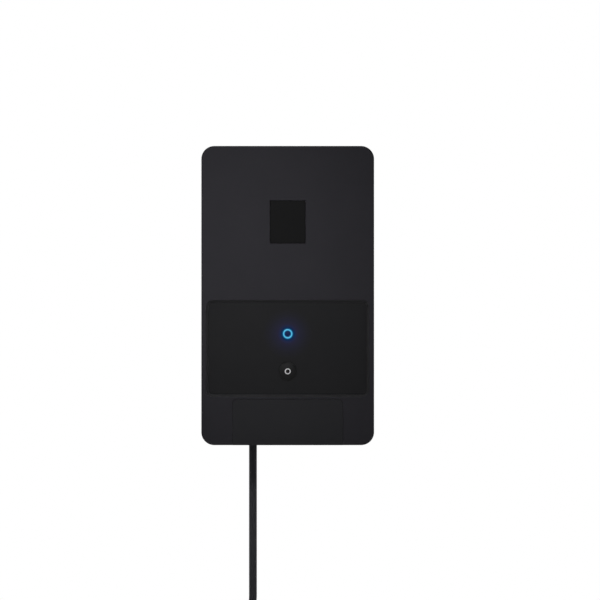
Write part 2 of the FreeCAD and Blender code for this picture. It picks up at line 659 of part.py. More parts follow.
def rear_housing():
    """Back tray: keyhole pockets, fixing tubes, screw bosses, cord well and transformer seat."""
    tray = plate(BODY_WIDTH, BODY_HEIGHT, CORNER_RADIUS, SPLIT, 0)
    tray = tray.makeFillet(BACK_EDGE_RADIUS, edges_at(tray, 0))
    tray = tray.makeChamfer(SHADOW_GAP, edges_at(tray, SPLIT))
    tray = tray.cut(hollow(SPLIT, BACK_INSIDE))
    added = []
    pocket_back = -KEYHOLE_POCKET_DEPTH - KEYHOLE_BOX_WALL
    box_width = KEYHOLE_POCKET_WIDTH + 2 * KEYHOLE_BOX_WALL
    box_height = pocket_height() + 2 * KEYHOLE_BOX_WALL
    for side in (-1, 1):
        x = side * KEYHOLE_X
        added.append(plate(box_width, box_height, KEYHOLE_BOX_WALL, pocket_back, 0, x, pocket_centre_z()))
        added.append(rod(FIXING_TUBE_DIAMETER, SPLIT, 0, side * FIXING_X, FIXING_Z))
    half_web = CLOSING_BOSS_WEB / 2
    for x, z in closing_screw_places():
        added.append(rod(CLOSING_BOSS_DIAMETER, SPLIT, 0, x, z))
        edge = math.copysign(BODY_WIDTH / 2 - WALL / 2, x)
        added.append(block(x, edge, SPLIT, BACK_INSIDE, z - half_web, z + half_web))
    added.append(upright(WELL_DIAMETER + 2 * WELL_WALL, BOTTOM, WELL_TOP + WELL_WALL, CORD_X, CORD_Y))
    well_half = WELL_DIAMETER / 2
    added.append(block(CORD_X - well_half, CORD_X + well_half, BACK_INSIDE, CORD_Y, BOTTOM, WELL_TOP))
    added.append(rod(TOROID_BOSS_DIAMETER, BACK_INSIDE, BACK_INSIDE - TOROID_BOSS_HEIGHT, 0, TOROID_Z))
    rim_bore = PAD_DIAMETER + 2 * SLIDE_GAP
    added.append(washer(rim_bore + 2 * PAD_RIM, rim_bore, BACK_INSIDE, BACK_INSIDE - PAD_THICKNESS / 2))
    for side in (-1, 1):
        x = CORD_X + side * CLAMP_POST_SPACING / 2
        added.append(rod(CLAMP_POST_DIAMETER, BACK_INSIDE, clamp_bar_back(), x, CLAMP_Z))
    added.append(cord_rest())
    added.append(connector_seat())
    added.extend(rear_ribs())
    tray = joined([tray] + added)
    removed = []
    for side in (-1, 1):
        removed.extend(keyhole(side * KEYHOLE_X))
        removed.append(rod(FIXING_HOLE_DIAMETER, SPLIT, 0, side * FIXING_X, FIXING_Z))
    for x, z in closing_screw_places():
        removed.append(rod(CLOSING_HEAD_DIAMETER + 2 * SNUG_GAP, -CLOSING_HEAD_DEPTH, 0, x, z))
        removed.append(rod(CLOSING_SHANK_DIAMETER + 2 * BOLT_FIT, SPLIT, 0, x, z))
    removed.append(upright(WELL_DIAMETER, BOTTOM - CUT_PAST, WELL_TOP, CORD_X, CORD_Y))
    neck = RELIEF_NECK_DIAMETER + 2 * BOLT_FIT
    removed.append(upright(neck, WELL_TOP, WELL_TOP + WELL_WALL, CORD_X, CORD_Y))
    removed.append(rod(INSERT_DIAMETER, BACK_INSIDE - TOROID_BOSS_HEIGHT, insert_root(), 0, TOROID_Z))
    for side in (-1, 1):
        x = CORD_X + side * CLAMP_POST_SPACING / 2
        hole_end = clamp_bar_back() + CLAMP_SCREW_LENGTH - CLAMP_BAR_THICKNESS
        removed.append(rod(CLAMP_SCREW_DIAMETER + 2 * BOLT_FIT, clamp_bar_back(), hole_end, x, CLAMP_Z))
    removed.append(shell_ring(SPLIT, SPLIT + GROOVE_DEPTH, GROOVE_WIDTH))
    return tray.cut(Part.makeCompound(removed))


def pocket_height():
    """Height of the pocket behind a keyhole."""
    return KEYHOLE_RISE + KEYHOLE_ENTRY_DIAMETER / 2 + KEYHOLE_POCKET_WIDTH / 2 + KEYHOLE_POCKET_ROOM


def pocket_centre_z():
    """Middle height of the pocket behind a keyhole."""
    low = KEYHOLE_Z - KEYHOLE_RISE - KEYHOLE_ENTRY_DIAMETER / 2
    return low + pocket_height() / 2


def keyhole(x):
    """Entry hole, slot and the pocket for the screw's head."""
    entry = rod(KEYHOLE_ENTRY_DIAMETER, -KEYHOLE_PLATE, 0, x, KEYHOLE_Z - KEYHOLE_RISE)
    top = rod(KEYHOLE_SLOT_WIDTH, -KEYHOLE_PLATE, 0, x, KEYHOLE_Z)
    half = KEYHOLE_SLOT_WIDTH / 2
    slot = block(x - half, x + half, -KEYHOLE_PLATE, 0, KEYHOLE_Z - KEYHOLE_RISE, KEYHOLE_Z)
    pocket = plate(
        KEYHOLE_POCKET_WIDTH, pocket_height(), KEYHOLE_POCKET_RADIUS, -KEYHOLE_POCKET_DEPTH, -KEYHOLE_PLATE,
        x, pocket_centre_z(),
    )
    return [entry, top, slot, pocket]


def rear_ribs():
    """Low ribs across the back wall."""
    side_wall = BODY_WIDTH / 2 - WALL
    half = RIB_THICKNESS / 2
    rise = BACK_INSIDE - REAR_RIB_HEIGHT
    high = CONNECTOR_Z + REAR_RIB_ABOVE_CONNECTOR
    low = high - REAR_RIB_SPAN
    ribs = [block(-side_wall, side_wall, BACK_INSIDE, rise, z - half, z + half) for z in (low, high)]
    for x in (-REAR_RIB_X, REAR_RIB_X):
        ribs.append(block(x - half, x + half, BACK_INSIDE, rise, low, high))
    return ribs


def clamp_bar_back():
    """Face of the posts that the cord clamp is screwed down on."""
    return CORD_Y - CORD_DIAMETER / 2 + CLAMP_SQUEEZE


def cord_rest():
    """Pad under the lead, opposite its clamp."""
    half = CLAMP_REST_WIDTH / 2
    reach = CLAMP_REST_HEIGHT / 2
    face = CORD_Y + CORD_DIAMETER / 2 + SNUG_GAP
    return block(CORD_X - half, CORD_X + half, BACK_INSIDE, face, CLAMP_Z - reach, CLAMP_Z + reach)


def insert_root():
    """Inner end of the transformer's brass insert."""
    return BACK_INSIDE - TOROID_BOSS_HEIGHT + INSERT_LENGTH


def connector_seat():
    """Pedestal under the mains connector."""
    half = CONNECTOR_WIDTH / 2
    low = CONNECTOR_Z - CONNECTOR_HEIGHT / 2
    high = CONNECTOR_Z + CONNECTOR_HEIGHT / 2
    face = CORD_Y + CONNECTOR_THICKNESS / 2
    return block(CONNECTOR_X - half, CONNECTOR_X + half, BACK_INSIDE, face, low, high)


def housing_seal():
    """Rubber ring at the bottom of the groove."""
    return shell_ring(SPLIT + GROOVE_DEPTH - SEAL_HEIGHT, SPLIT + GROOVE_DEPTH, GROOVE_WIDTH - 2 * TONGUE_GAP)


def housing_screws():
    """Six pan-head screws, driven from the back."""
    screws = []
    for x, z in closing_screw_places():
        seat = -CLOSING_HEAD_DEPTH
        head = rod(CLOSING_HEAD_DIAMETER, seat, seat + CLOSING_HEAD_HEIGHT, x, z)
        recess = rod(CLOSING_SHANK_DIAMETER, seat + CLOSING_HEAD_HEIGHT / 2, seat + CLOSING_HEAD_HEIGHT, x, z)
        end = SPLIT - CLOSING_SHANK_LENGTH + SCREW_END_ROOM
        shank = rod(CLOSING_SHANK_DIAMETER, seat, end, x, z)
        screws.append(joined([head.cut(recess), shank]))
    return group(screws)


def badge_plate():
    """Bare dark plate in its pocket."""
    low = BADGE_CENTRE_Z - BADGE_HEIGHT / 2 + SNUG_GAP
    high = BADGE_CENTRE_Z + BADGE_HEIGHT / 2 - SNUG_GAP
    half = BADGE_WIDTH / 2 - SNUG_GAP
    face = FRONT + BADGE_SUNK
    badge = block(-half, half, face, face + BADGE_THICKNESS, low, high)
    return badge.makeChamfer(BADGE_CHAMFER, edges_at(badge, face))


def control_fascia():
    """Flat panel with the holes of the lamp and the button."""
    wide = FLOOR_WIDTH - 2 * SNUG_GAP
    high = FLOOR_HEIGHT - 2 * SNUG_GAP
    sheet = plate(wide, high, FLOOR_RADIUS, FASCIA_FACE, FASCIA_BACK, 0, PANEL_CENTRE_Z)
    lamp = rod(RING_OUTER_DIAMETER + 2 * SNUG_GAP, FASCIA_FACE, FASCIA_BACK, 0, LAMP_Z)
    button = rod(BUTTON_DIAMETER + 2 * SLIDE_GAP, FASCIA_FACE, FASCIA_BACK, 0, BUTTON_Z)
    return sheet.cut([lamp, button])


def light_ring():
    """Clear tube that carries the light from the board to the front, with a collar behind the wall."""
    outer = RING_OUTER_DIAMETER / 2
    inner = RING_INNER_DIAMETER / 2
    collar = RING_COLLAR_DIAMETER / 2
    face = FASCIA_FACE - RING_PROUD
    shoulder = PANEL_INSIDE - RING_COLLAR_HEIGHT + SNUG_GAP
    back = BOARD_FACE - LED_HEIGHT - LED_GAP
    profile = [
        (inner, face),
        (outer - SOFT_RIM, face),
        (outer, face + SOFT_RIM),
        (outer, shoulder),
        (collar, shoulder),
        (collar, shoulder + RING_COLLAR_HEIGHT),
        (outer, shoulder + RING_COLLAR_HEIGHT),
        (outer, back),
        (inner, back),
    ]
    return turned(profile, 0, LAMP_Z)


def light_ring_core():
    """Dark plug in the middle of the ring."""
    radius = RING_INNER_DIAMETER / 2 - BOLT_FIT
    face = FASCIA_FACE - RING_PROUD
    back = PANEL_INSIDE
    profile = [(0, face), (radius - SOFT_RIM, face), (radius, face + SOFT_RIM), (radius, back), (0, back)]
    return turned(profile, 0, LAMP_Z)


def dome_radius():
    """Radius of the button's crown."""
    radius = BUTTON_DIAMETER / 2
    return (radius**2 + BUTTON_CROWN**2) / (2 * BUTTON_CROWN)


def domed_disc(back):
    """The button's head: a disc with a slightly domed face."""
    radius = BUTTON_DIAMETER / 2
    rim = FASCIA_FACE - BUTTON_PROUD
    tip = rim - BUTTON_CROWN
    ball = dome_radius()
    half_way = math.asin(radius / ball) / 2
    on_dome = Vector(ball * math.sin(half_way), tip + ball * (1 - math.cos(half_way)), BUTTON_Z)
    edges = [
        Part.LineSegment(Vector(0, back, BUTTON_Z), Vector(radius, back, BUTTON_Z)).toShape(),
        Part.LineSegment(Vector(radius, back, BUTTON_Z), Vector(radius, rim, BUTTON_Z)).toShape(),
        Part.Arc(Vector(radius, rim, BUTTON_Z), on_dome, Vector(0, tip, BUTTON_Z)).toShape(),
        Part.LineSegment(Vector(0, tip, BUTTON_Z), Vector(0, back, BUTTON_Z)).toShape(),
    ]
    face = Part.Face(Part.Wire(edges))
    return face.revolve(Vector(0, 0, BUTTON_Z), Vector(0, 1, 0), 360)


def button_cap():
    """Domed button with its flange, its stem and the seat of the pale ring."""
    flange_face = PANEL_INSIDE + BOLT_FIT
    flange = rod(BUTTON_FLANGE_DIAMETER, flange_face, flange_face + BUTTON_FLANGE_HEIGHT, 0, BUTTON_Z)
    stem = rod(BUTTON_STEM_DIAMETER, flange_face, plunger_tip(), 0, BUTTON_Z)
    seat = mark_ring(MARK_OUTER_DIAMETER + 2 * BOLT_FIT, MARK_INNER_DIAMETER - 2 * BOLT_FIT)
    return joined([domed_disc(flange_face), flange, stem]).cut(seat)


def mark_ring(outer, inner):
    """Ring-shaped groove or inlay that follows the dome."""
    rim = FASCIA_FACE - BUTTON_PROUD
    ball = dome_radius()
    middle = Vector(0, rim - BUTTON_CROWN + ball, BUTTON_Z)
    start = rim - 2 * BUTTON_CROWN
    deep = rod(outer, start, rim, 0, BUTTON_Z).cut(rod(inner, start, rim, 0, BUTTON_Z))
    return deep.common(Part.makeSphere(ball, middle)).cut(Part.makeSphere(ball - MARK_DEPTH, middle))


def button_mark():
    """Pale ring let into the dome."""
    return mark_ring(MARK_OUTER_DIAMETER, MARK_INNER_DIAMETER)


def plunger_tip():
    """Front end of the switch's plunger, which the button's stem touches."""
    return BOARD_FACE - SWITCH_HEIGHT - PLUNGER_PROUD


def switch_body():
    """Tactile switch with a bore for its plunger and four legs' plate."""
    half = SWITCH_SIDE / 2
    body = block(-half, half, BOARD_FACE - SWITCH_HEIGHT, BOARD_FACE, BUTTON_Z - half, BUTTON_Z + half)
    bore = rod(
        PLUNGER_DIAMETER + 2 * PLUNGER_FIT, BOARD_FACE - SWITCH_HEIGHT, BOARD_FACE - SWITCH_FLOOR, 0, BUTTON_Z
    )
    return body.cut(bore)


def switch_plunger():
    """Round plunger, pressed in by the button's stem."""
    room = BUTTON_TRAVEL + SNUG_GAP
    inner_end = BOARD_FACE - SWITCH_FLOOR - room
    pin = rod(PLUNGER_DIAMETER, plunger_tip(), inner_end, 0, BUTTON_Z)
    return pin.makeChamfer(SOFT_RIM, edges_at(pin, plunger_tip()))


def button_boot():
    """Rubber bell that keeps the wet out and brings the button back."""
    foot = BOOT_FOOT_DIAMETER / 2
    top = BUTTON_FLANGE_DIAMETER / 2 - BOOT_LIP_INSET
    lip = PANEL_INSIDE + BOLT_FIT + BUTTON_FLANGE_HEIGHT
    profile = [
        (foot - BOOT_THICKNESS, BOARD_FACE),
        (foot + BOOT_THICKNESS, BOARD_FACE),
        (foot + BOOT_THICKNESS, BOARD_FACE - BOOT_THICKNESS),
        (foot, BOARD_FACE - BOOT_THICKNESS),
        (top, lip),
        (top - BOOT_THICKNESS, lip),
        (foot - BOOT_THICKNESS, BOARD_FACE - BOOT_THICKNESS),
    ]
    return turned(profile, 0, BUTTON_Z)


def control_board():
    """Circuit board with its four screw holes."""
    board = plate(BOARD_WIDTH, BOARD_HEIGHT, BOARD_CORNER_RADIUS, BOARD_FACE, BOARD_BACK, 0, BOARD_CENTRE_Z)
    hole = BOARD_SCREW_DIAMETER + 2 * SNUG_GAP
    return board.cut([rod(hole, BOARD_FACE, BOARD_BACK, x, z) for x, z in board_screw_places()])


def board_screws():
    """Four small screws from behind."""
    screws = []
    for x, z in board_screw_places():
        head = rod(BOARD_SCREW_HEAD_DIAMETER, BOARD_BACK, BOARD_BACK + BOARD_SCREW_HEAD_HEIGHT, x, z)
        shank = rod(BOARD_SCREW_DIAMETER, BOARD_BACK, BOARD_FACE - BOARD_SCREW_LENGTH + SCREW_END_ROOM, x, z)
        screws.append(joined([head, shank]))
    return group(screws)


def status_leds():
    """Small lamps under the light guide."""
    reach = (RING_OUTER_DIAMETER + RING_INNER_DIAMETER) / 4
    lamps = []
    long = LED_LENGTH / 2
    wide = LED_WIDTH / 2
    for index in range(LED_COUNT):
        lamp = block(reach - long, reach + long, BOARD_FACE - LED_HEIGHT, BOARD_FACE, -wide, wide)
        lamp.rotate(Vector(0, 0, 0), Vector(0, 1, 0), index * 360 / LED_COUNT)
        lamp.translate(Vector(0, 0, LAMP_Z))
        lamps.append(lamp)
    return group(lamps)


def behind_board(x, z, width, height, deep):
    """Block standing on the back of the board, placed from the board's middle."""
    low = BOARD_CENTRE_Z + z - height / 2
    return block(x - width / 2, x + width / 2, BOARD_BACK, BOARD_BACK + deep, low, low + height)


def heat_sink():
    """Aluminium base with fins."""
    x, z, width, height, base = SINK_BASE
    first = x - (width - SINK_FIN_THICKNESS) / 2
    step = (width - SINK_FIN_THICKNESS) / (SINK_FIN_COUNT - 1)
    fins = [
        behind_board(first + step * index, z, SINK_FIN_THICKNESS, height, SINK_FIN_DEPTH)
        for index in range(SINK_FIN_COUNT)
    ]
    return joined([behind_board(x, z, width, height, base)] + fins)


def driver_transistors():
    """Two flat transistors side by side."""
    x, z, width, height, deep = TRANSISTOR
    half = TRANSISTOR_SPACING / 2
    return group([behind_board(place, z, width, height, deep) for place in (x - half, x + half)])


def filter_capacitors():
    """Two cans, each with a groove near its top."""
    z = BOARD_CENTRE_Z + CAPACITOR_Z
    top = BOARD_BACK + CAPACITOR_HEIGHT
    low = BOARD_BACK + CAPACITOR_GROOVE_HEIGHT - CAPACITOR_GROOVE_DEPTH
    high = BOARD_BACK + CAPACITOR_GROOVE_HEIGHT + CAPACITOR_GROOVE_DEPTH
    core = CAPACITOR_DIAMETER - 2 * CAPACITOR_GROOVE_DEPTH
    cans = []
    for x in (CAPACITOR_X - CAPACITOR_SPACING / 2, CAPACITOR_X + CAPACITOR_SPACING / 2):
        can = rod(CAPACITOR_DIAMETER, BOARD_BACK, top, x, z)
        groove = rod(2 * CAPACITOR_DIAMETER, low, high, x, z).cut(rod(core, low, high, x, z))
        cans.append(can.cut(groove))
    return group(cans)


def board_connector():
    """Socket for the wires to the terminals."""
    x, z, width, height, deep = SOCKET
    first = x - (SOCKET_SLOT_COUNT - 1) * SOCKET_SLOT_SPACING / 2
    slots = []
    for index in range(SOCKET_SLOT_COUNT):
        place = first + SOCKET_SLOT_SPACING * index
        slots.append(behind_board(place, z, SOCKET_SLOT_WIDTH, SOCKET_SLOT_HEIGHT, deep + CUT_PAST))
    floor = behind_board(x, z, width, height, SOCKET_FLOOR)
    return behind_board(x, z, width, height, deep).cut(slots).fuse(floor).removeSplitter()


def fuse_tube(diameter, low, high):
    """Round bar on the fuse's line, between two heights from the board's middle."""
    return upright(diameter, BOARD_CENTRE_Z + low, BOARD_CENTRE_Z + high, FUSE_X, BOARD_BACK + FUSE_RISE)


def fuse_clips():
    """Two brass clips that hold the fuse."""
    clips = []
    for z in (FUSE_Z - CLIP_SPACING / 2, FUSE_Z + CLIP_SPACING / 2):
        bore = fuse_tube(FUSE_DIAMETER + 2 * BOLT_FIT, z - CLIP_HEIGHT, z + CLIP_HEIGHT)
        clips.append(behind_board(FUSE_X, z, CLIP_WIDTH, CLIP_HEIGHT, CLIP_DEPTH).cut(bore))
    return group(clips)


def board_parts():
    """The larger parts that stand on the back of the board."""
    relay = behind_board(*RELAY)
    x, z, width, height, _ = SHIELD
    return {
        "power_relay": relay.makeFillet(RELAY_ROUNDING, relay.Edges),
        "wireless_module": behind_board(*MODULE),
        "module_shield": behind_board(*SHIELD).cut(behind_board(x, z, width, height, MODULE[-1])),
        "heat_sink": heat_sink(),
        "driver_transistors": driver_transistors(),
        "filter_capacitors": filter_capacitors(),
        "board_connector": board_connector(),
        "fuse": fuse_tube(FUSE_DIAMETER, FUSE_Z - FUSE_LENGTH / 2, FUSE_Z + FUSE_LENGTH / 2),
        "fuse_clips": fuse_clips(),
    }


def toroid_profile():
    """Rounded section of the winding, as a face beside the axis."""
    inner = TOROID_BORE / 2
    outer = TOROID_DIAMETER / 2
    back = BACK_INSIDE - PAD_THICKNESS
    middle = Vector((inner + outer) / 2, back - TOROID_HEIGHT / 2, TOROID_Z)
    return Part.Face(level_outline(outer - inner, TOROID_HEIGHT, TOROID_ROUNDING, middle))


def transformer_winding():
    """Taped toroidal winding."""
    return toroid_profile().revolve(Vector(0, 0, TOROID_Z), Vector(0, 1, 0), 360)


def washer(outer, inner, y_from, y_to):
    """Flat ring on the transformer's axis."""
    return rod(outer, y_from, y_to, 0, TOROID_Z).cut(rod(inner, y_from, y_to, 0, TOROID_Z))


def toroid_front():
    """Front face of the winding."""
    return BACK_INSIDE - PAD_THICKNESS - TOROID_HEIGHT


def transformer_pad(diameter, back):
    """Rubber pad on one side of the winding."""
    return washer(diameter, PAD_BORE, back - PAD_THICKNESS, back)


def transformer_dish():
    """Dished steel washer, pressed into the winding's bore."""
    face = toroid_front() - PAD_THICKNESS
    rim = DISH_DIAMETER / 2
    well = DISH_WELL_DIAMETER / 2
    bore = BOLT_DIAMETER / 2 + SNUG_GAP
    deep = face + DISH_DROP
    profile = [
        (rim, face),
        (rim, face - DISH_THICKNESS),
        (well + DISH_DROP / 2, face - DISH_THICKNESS),
        (well - DISH_DROP / 2, deep - DISH_THICKNESS),
        (bore, deep - DISH_THICKNESS),
        (bore, deep),
        (well - DISH_DROP / 2, deep),
        (well + DISH_DROP / 2, face),
    ]
    return turned(profile, 0, TOROID_Z)


def transformer_bolt():
    """Hexagon bolt through the dish into the brass insert."""
    under_head = toroid_front() - PAD_THICKNESS + DISH_DROP - DISH_THICKNESS
    corner_radius = BOLT_HEAD_ACROSS_FLATS / 2 / math.cos(math.radians(30))
    corners = []
    for index in range(7):
        angle = math.radians(60 * index)
        z = TOROID_Z + corner_radius * math.sin(angle)
        corners.append(Vector(corner_radius * math.cos(angle), under_head, z))
    head = Part.Face(Part.makePolygon(corners)).extrude(Vector(0, -BOLT_HEAD_HEIGHT, 0))
    shank = rod(BOLT_DIAMETER - 2 * BOLT_FIT, under_head, insert_root() - SCREW_END_ROOM, 0, TOROID_Z)
    return joined([head, shank])


def transformer_insert():
    """Brass insert in the rear tray's boss."""
    start = BACK_INSIDE - TOROID_BOSS_HEIGHT
    return washer(INSERT_DIAMETER - 2 * BOLT_FIT, BOLT_DIAMETER, start, insert_root())


def thermal_cutout():
    """Temperature switch taped on the winding's front face."""
    face = toroid_front()
    low = TOROID_Z + DISH_DIAMETER / 2 + CUTOUT_GAP
    half = CUTOUT_LENGTH / 2
    body = block(-half, half, face - CUTOUT_HEIGHT, face, low, low + CUTOUT_WIDTH)
    return body.makeFillet(CUTOUT_ROUNDING, edges_at(body, face - CUTOUT_HEIGHT))


def strain_relief():
    """Tapered rubber sleeve in the well, with its neck in the ceiling and its head inside."""
    tip = Vector(CORD_X, CORD_Y, BOTTOM)
    cone = Part.makeCone(RELIEF_TIP_DIAMETER / 2, RELIEF_ROOT_DIAMETER / 2, WELL_DEPTH, tip, Vector(0, 0, 1))
    core = RELIEF_TIP_DIAMETER - 2 * RELIEF_GROOVE_RIM
    grooves = []
    for index in range(RELIEF_GROOVES):
        low = BOTTOM + WELL_DEPTH * (index + 1) / (RELIEF_GROOVES + 1) - RELIEF_GROOVE_WIDTH / 2
        high = low + RELIEF_GROOVE_WIDTH
        ring = upright(2 * RELIEF_HEAD_DIAMETER, low, high, CORD_X, CORD_Y)
        grooves.append(ring.cut(upright(core, low, high, CORD_X, CORD_Y)))
    neck = upright(RELIEF_NECK_DIAMETER, WELL_TOP, WELL_TOP + WELL_WALL, CORD_X, CORD_Y)
    head_from = WELL_TOP + WELL_WALL
    head = upright(RELIEF_HEAD_DIAMETER, head_from, head_from + RELIEF_HEAD_HEIGHT, CORD_X, CORD_Y)
    return joined([cone.cut(grooves), neck, head])


def rounded_path(points, share=ARC_SHARE):
    """Straight runs joined by arcs that touch them. Each arc is as large as its shorter run allows."""
    edges = []
    radii = []
    start = points[0]
    for index in range(1, len(points) - 1):
        before = points[index - 1] - points[index]
        after = points[index + 1] - points[index]
        shorter = min(before.Length, after.Length)
        half_turn = (math.pi - before.getAngle(after)) / 2
        reach = share * shorter
        radius = reach / math.tan(half_turn)
        radii.append(radius)
        before.normalize()
        after.normalize()
        arc_from = points[index] + before * reach
        arc_to = points[index] + after * reach
        inward = before + after
        inward.normalize()
        middle = points[index] + inward * (radius / math.cos(half_turn) - radius)
        edges.append(Part.LineSegment(start, arc_from).toShape())
        edges.append(Part.Arc(arc_from, middle, arc_to).toShape())
        start = arc_to
    edges.append(Part.LineSegment(start, points[-1]).toShape())
    return Part.Wire(edges), radii


def tube_on(path, diameter):
    """Round tube along a path, checked against section times length."""
    first = path.OrderedEdges[0]
    start = first.valueAt(first.FirstParameter)
    direction = first.tangentAt(first.FirstParameter)
    section = Part.Wire(Part.makeCircle(diameter / 2, start, direction))
    builder = Part.BRepOffsetAPI.MakePipeShell(path)
    builder.add(section, False, False)
    builder.build()
    builder.makeSolid()
    tube = Part.Solid(builder.shape())
    ideal = math.pi * diameter**2 / 4 * path.Length
    print(f"  tube {path.Length:.1f} long, volume {tube.Volume / ideal:.4f} of section times length")
    return tube


def wire(points, diameter):
    """Insulated wire through hand-placed points."""
    path, radii = rounded_path([Vector(*point) for point in points])
    print("  wire radii", [round(radius, 1) for radius in radii])
    return tube_on(path, diameter)


def inner_cord_top():
    """Where the lead's sheath ends inside the box."""
    return CLAMP_Z + SHEATH_PAST_CLAMP


def inner_cord():
    """The sheathed lead from the strain relief to just past its clamp."""
    low = WELL_TOP + WELL_WALL + RELIEF_HEAD_HEIGHT
    return upright(CORD_DIAMETER, low, inner_cord_top(), CORD_X, CORD_Y)


def cord_clamp():
    """Saddle that holds the lead down, on its two posts."""
    face = clamp_bar_back()
    half = CLAMP_BAR_WIDTH / 2
    low = CLAMP_Z - CLAMP_BAR_HEIGHT / 2
    high = CLAMP_Z + CLAMP_BAR_HEIGHT / 2
    bar = block(CORD_X - half, CORD_X + half, face - CLAMP_BAR_THICKNESS, face, low, high)
    groove = upright(CORD_DIAMETER + SNUG_GAP, low - CUT_PAST, high + CUT_PAST, CORD_X, CORD_Y)
    holes = []
    for side in (-1, 1):
        x = CORD_X + side * CLAMP_POST_SPACING / 2
        holes.append(rod(CLAMP_SCREW_DIAMETER + 2 * SNUG_GAP, face - CLAMP_BAR_THICKNESS, face, x, CLAMP_Z))
    return bar.cut([groove] + holes)


def clamp_screws():
    """Two screws of the cord clamp."""
    face = clamp_bar_back() - CLAMP_BAR_THICKNESS
    screws = []
    for side in (-1, 1):
        x = CORD_X + side * CLAMP_POST_SPACING / 2
        head = rod(CLAMP_SCREW_DIAMETER * 2, face - CLAMP_SCREW_HEAD_HEIGHT, face, x, CLAMP_Z)
        end = face + CLAMP_SCREW_LENGTH - CLAMP_SCREW_END_ROOM
        shank = rod(CLAMP_SCREW_DIAMETER, face, end, x, CLAMP_Z)
        screws.append(joined([head, shank]))
    return group(screws)


def mains_connector():
    """Two-way screw connector between the lead and the transformer."""
    half = CONNECTOR_WIDTH / 2
    low = CONNECTOR_Z - CONNECTOR_HEIGHT / 2
    high = CONNECTOR_Z + CONNECTOR_HEIGHT / 2
    back = CORD_Y + CONNECTOR_THICKNESS / 2
    face = back - CONNECTOR_THICKNESS
    body = block(CONNECTOR_X - half, CONNECTOR_X + half, face, back, low, high)
    body = body.makeFillet(CONNECTOR_ROUNDING, edges_at(body, face))
    edge = CONNECTOR_SLOT_WIDTH / 2
    waist = block(CONNECTOR_X - edge, CONNECTOR_X + edge, face, back - CONNECTOR_SLOT_FLOOR, low, high)
    wells = []
    for x in (CONNECTOR_X - half / 2, CONNECTOR_X + half / 2):
        wells.append(rod(CONNECTOR_WELL_DIAMETER, face, back - CONNECTOR_WELL_FLOOR, x, CONNECTOR_Z))
    return body.cut([waist] + wells)


def mains_wires():
    """Two wires from the sheath's end to the connector."""
    wires = []
    for side in (-1, 1):
        start = CORD_X + side * MAINS_WIRE_SPACING / 2
        end = CONNECTOR_X + side * CONNECTOR_WIDTH / 4
        low = inner_cord_top()
        high = CONNECTOR_Z - CONNECTOR_HEIGHT / 2
        bend = MAINS_WIRE_BEND_SHARE * (high - low)
        points = [
            (start, CORD_Y, low),
            (start, CORD_Y, low + bend),
            (end, CORD_Y, high - bend),
            (end, CORD_Y, high),
        ]
        wires.append(wire(points, MAINS_WIRE_DIAMETER))
    return group(wires)


def below_winding(x, diameter):
    """Height at which a wire's end meets the winding's lower edge."""
    clear = TOROID_DIAMETER / 2 + SLIDE_GAP + diameter / 4
    return TOROID_Z - math.sqrt(clear**2 - x**2) - WIRE_END_GAP


def primary_wires():
    """Two wires from the connector to the winding."""
    wires = []
    low = CONNECTOR_Z + CONNECTOR_HEIGHT / 2
    for side in (-1, 1):
        x = CONNECTOR_X + side * CONNECTOR_WIDTH / 4
        end_x = x + PRIMARY_WIRE_ASIDE
        end_y = CORD_Y - PRIMARY_WIRE_FORWARD
        end_z = below_winding(end_x, MAINS_WIRE_DIAMETER)
        points = [
            (x, CORD_Y, low),
            (x, CORD_Y, low + PRIMARY_WIRE_RISE),
            (end_x, end_y, end_z - PRIMARY_WIRE_END),
            (end_x, end_y, end_z),
        ]
        wires.append(wire(points, MAINS_WIRE_DIAMETER))
    return group(wires)


def secondary_wires():
    """Two thick wires from the winding to the back of the board."""
    wires = []
    for index in range(2):
        x = SECONDARY_WIRE_X + index * SECONDARY_WIRE_SPACING
        low = BOARD_TOP - SECONDARY_WIRE_BELOW_BOARD_TOP
        points = [
            (x, -SECONDARY_WIRE_DEPTH, below_winding(x, LOW_WIRE_DIAMETER)),
            (x, -SECONDARY_WIRE_DEPTH, low),
            (x, BOARD_BACK, low),
        ]
        wires.append(wire(points, LOW_WIRE_DIAMETER))
    return group(wires)


def output_wires():
    """Wires from the board's connector through the bay's back wall to the terminals."""
    wires = []
    start_z = BOARD_CENTRE_Z + SOCKET[1]
    start_y = BOARD_BACK + SOCKET[-1]
    bend_y = SPLIT + OUTPUT_WIRE_BEHIND_SPLIT
    for side in (-1, 1):
        x = SOCKET[0] + side * SOCKET_SLOT_SPACING / 2
        target = GROMMET_X + side * WIRE_PITCH / 2
        points = [
            (x, start_y, start_z),
            (x, bend_y, start_z),
            (target, bend_y, FIXING_Z),
            (target, BAY_BACK, FIXING_Z),
        ]
        wires.append(wire(points, LOW_WIRE_DIAMETER))
    return group(wires)


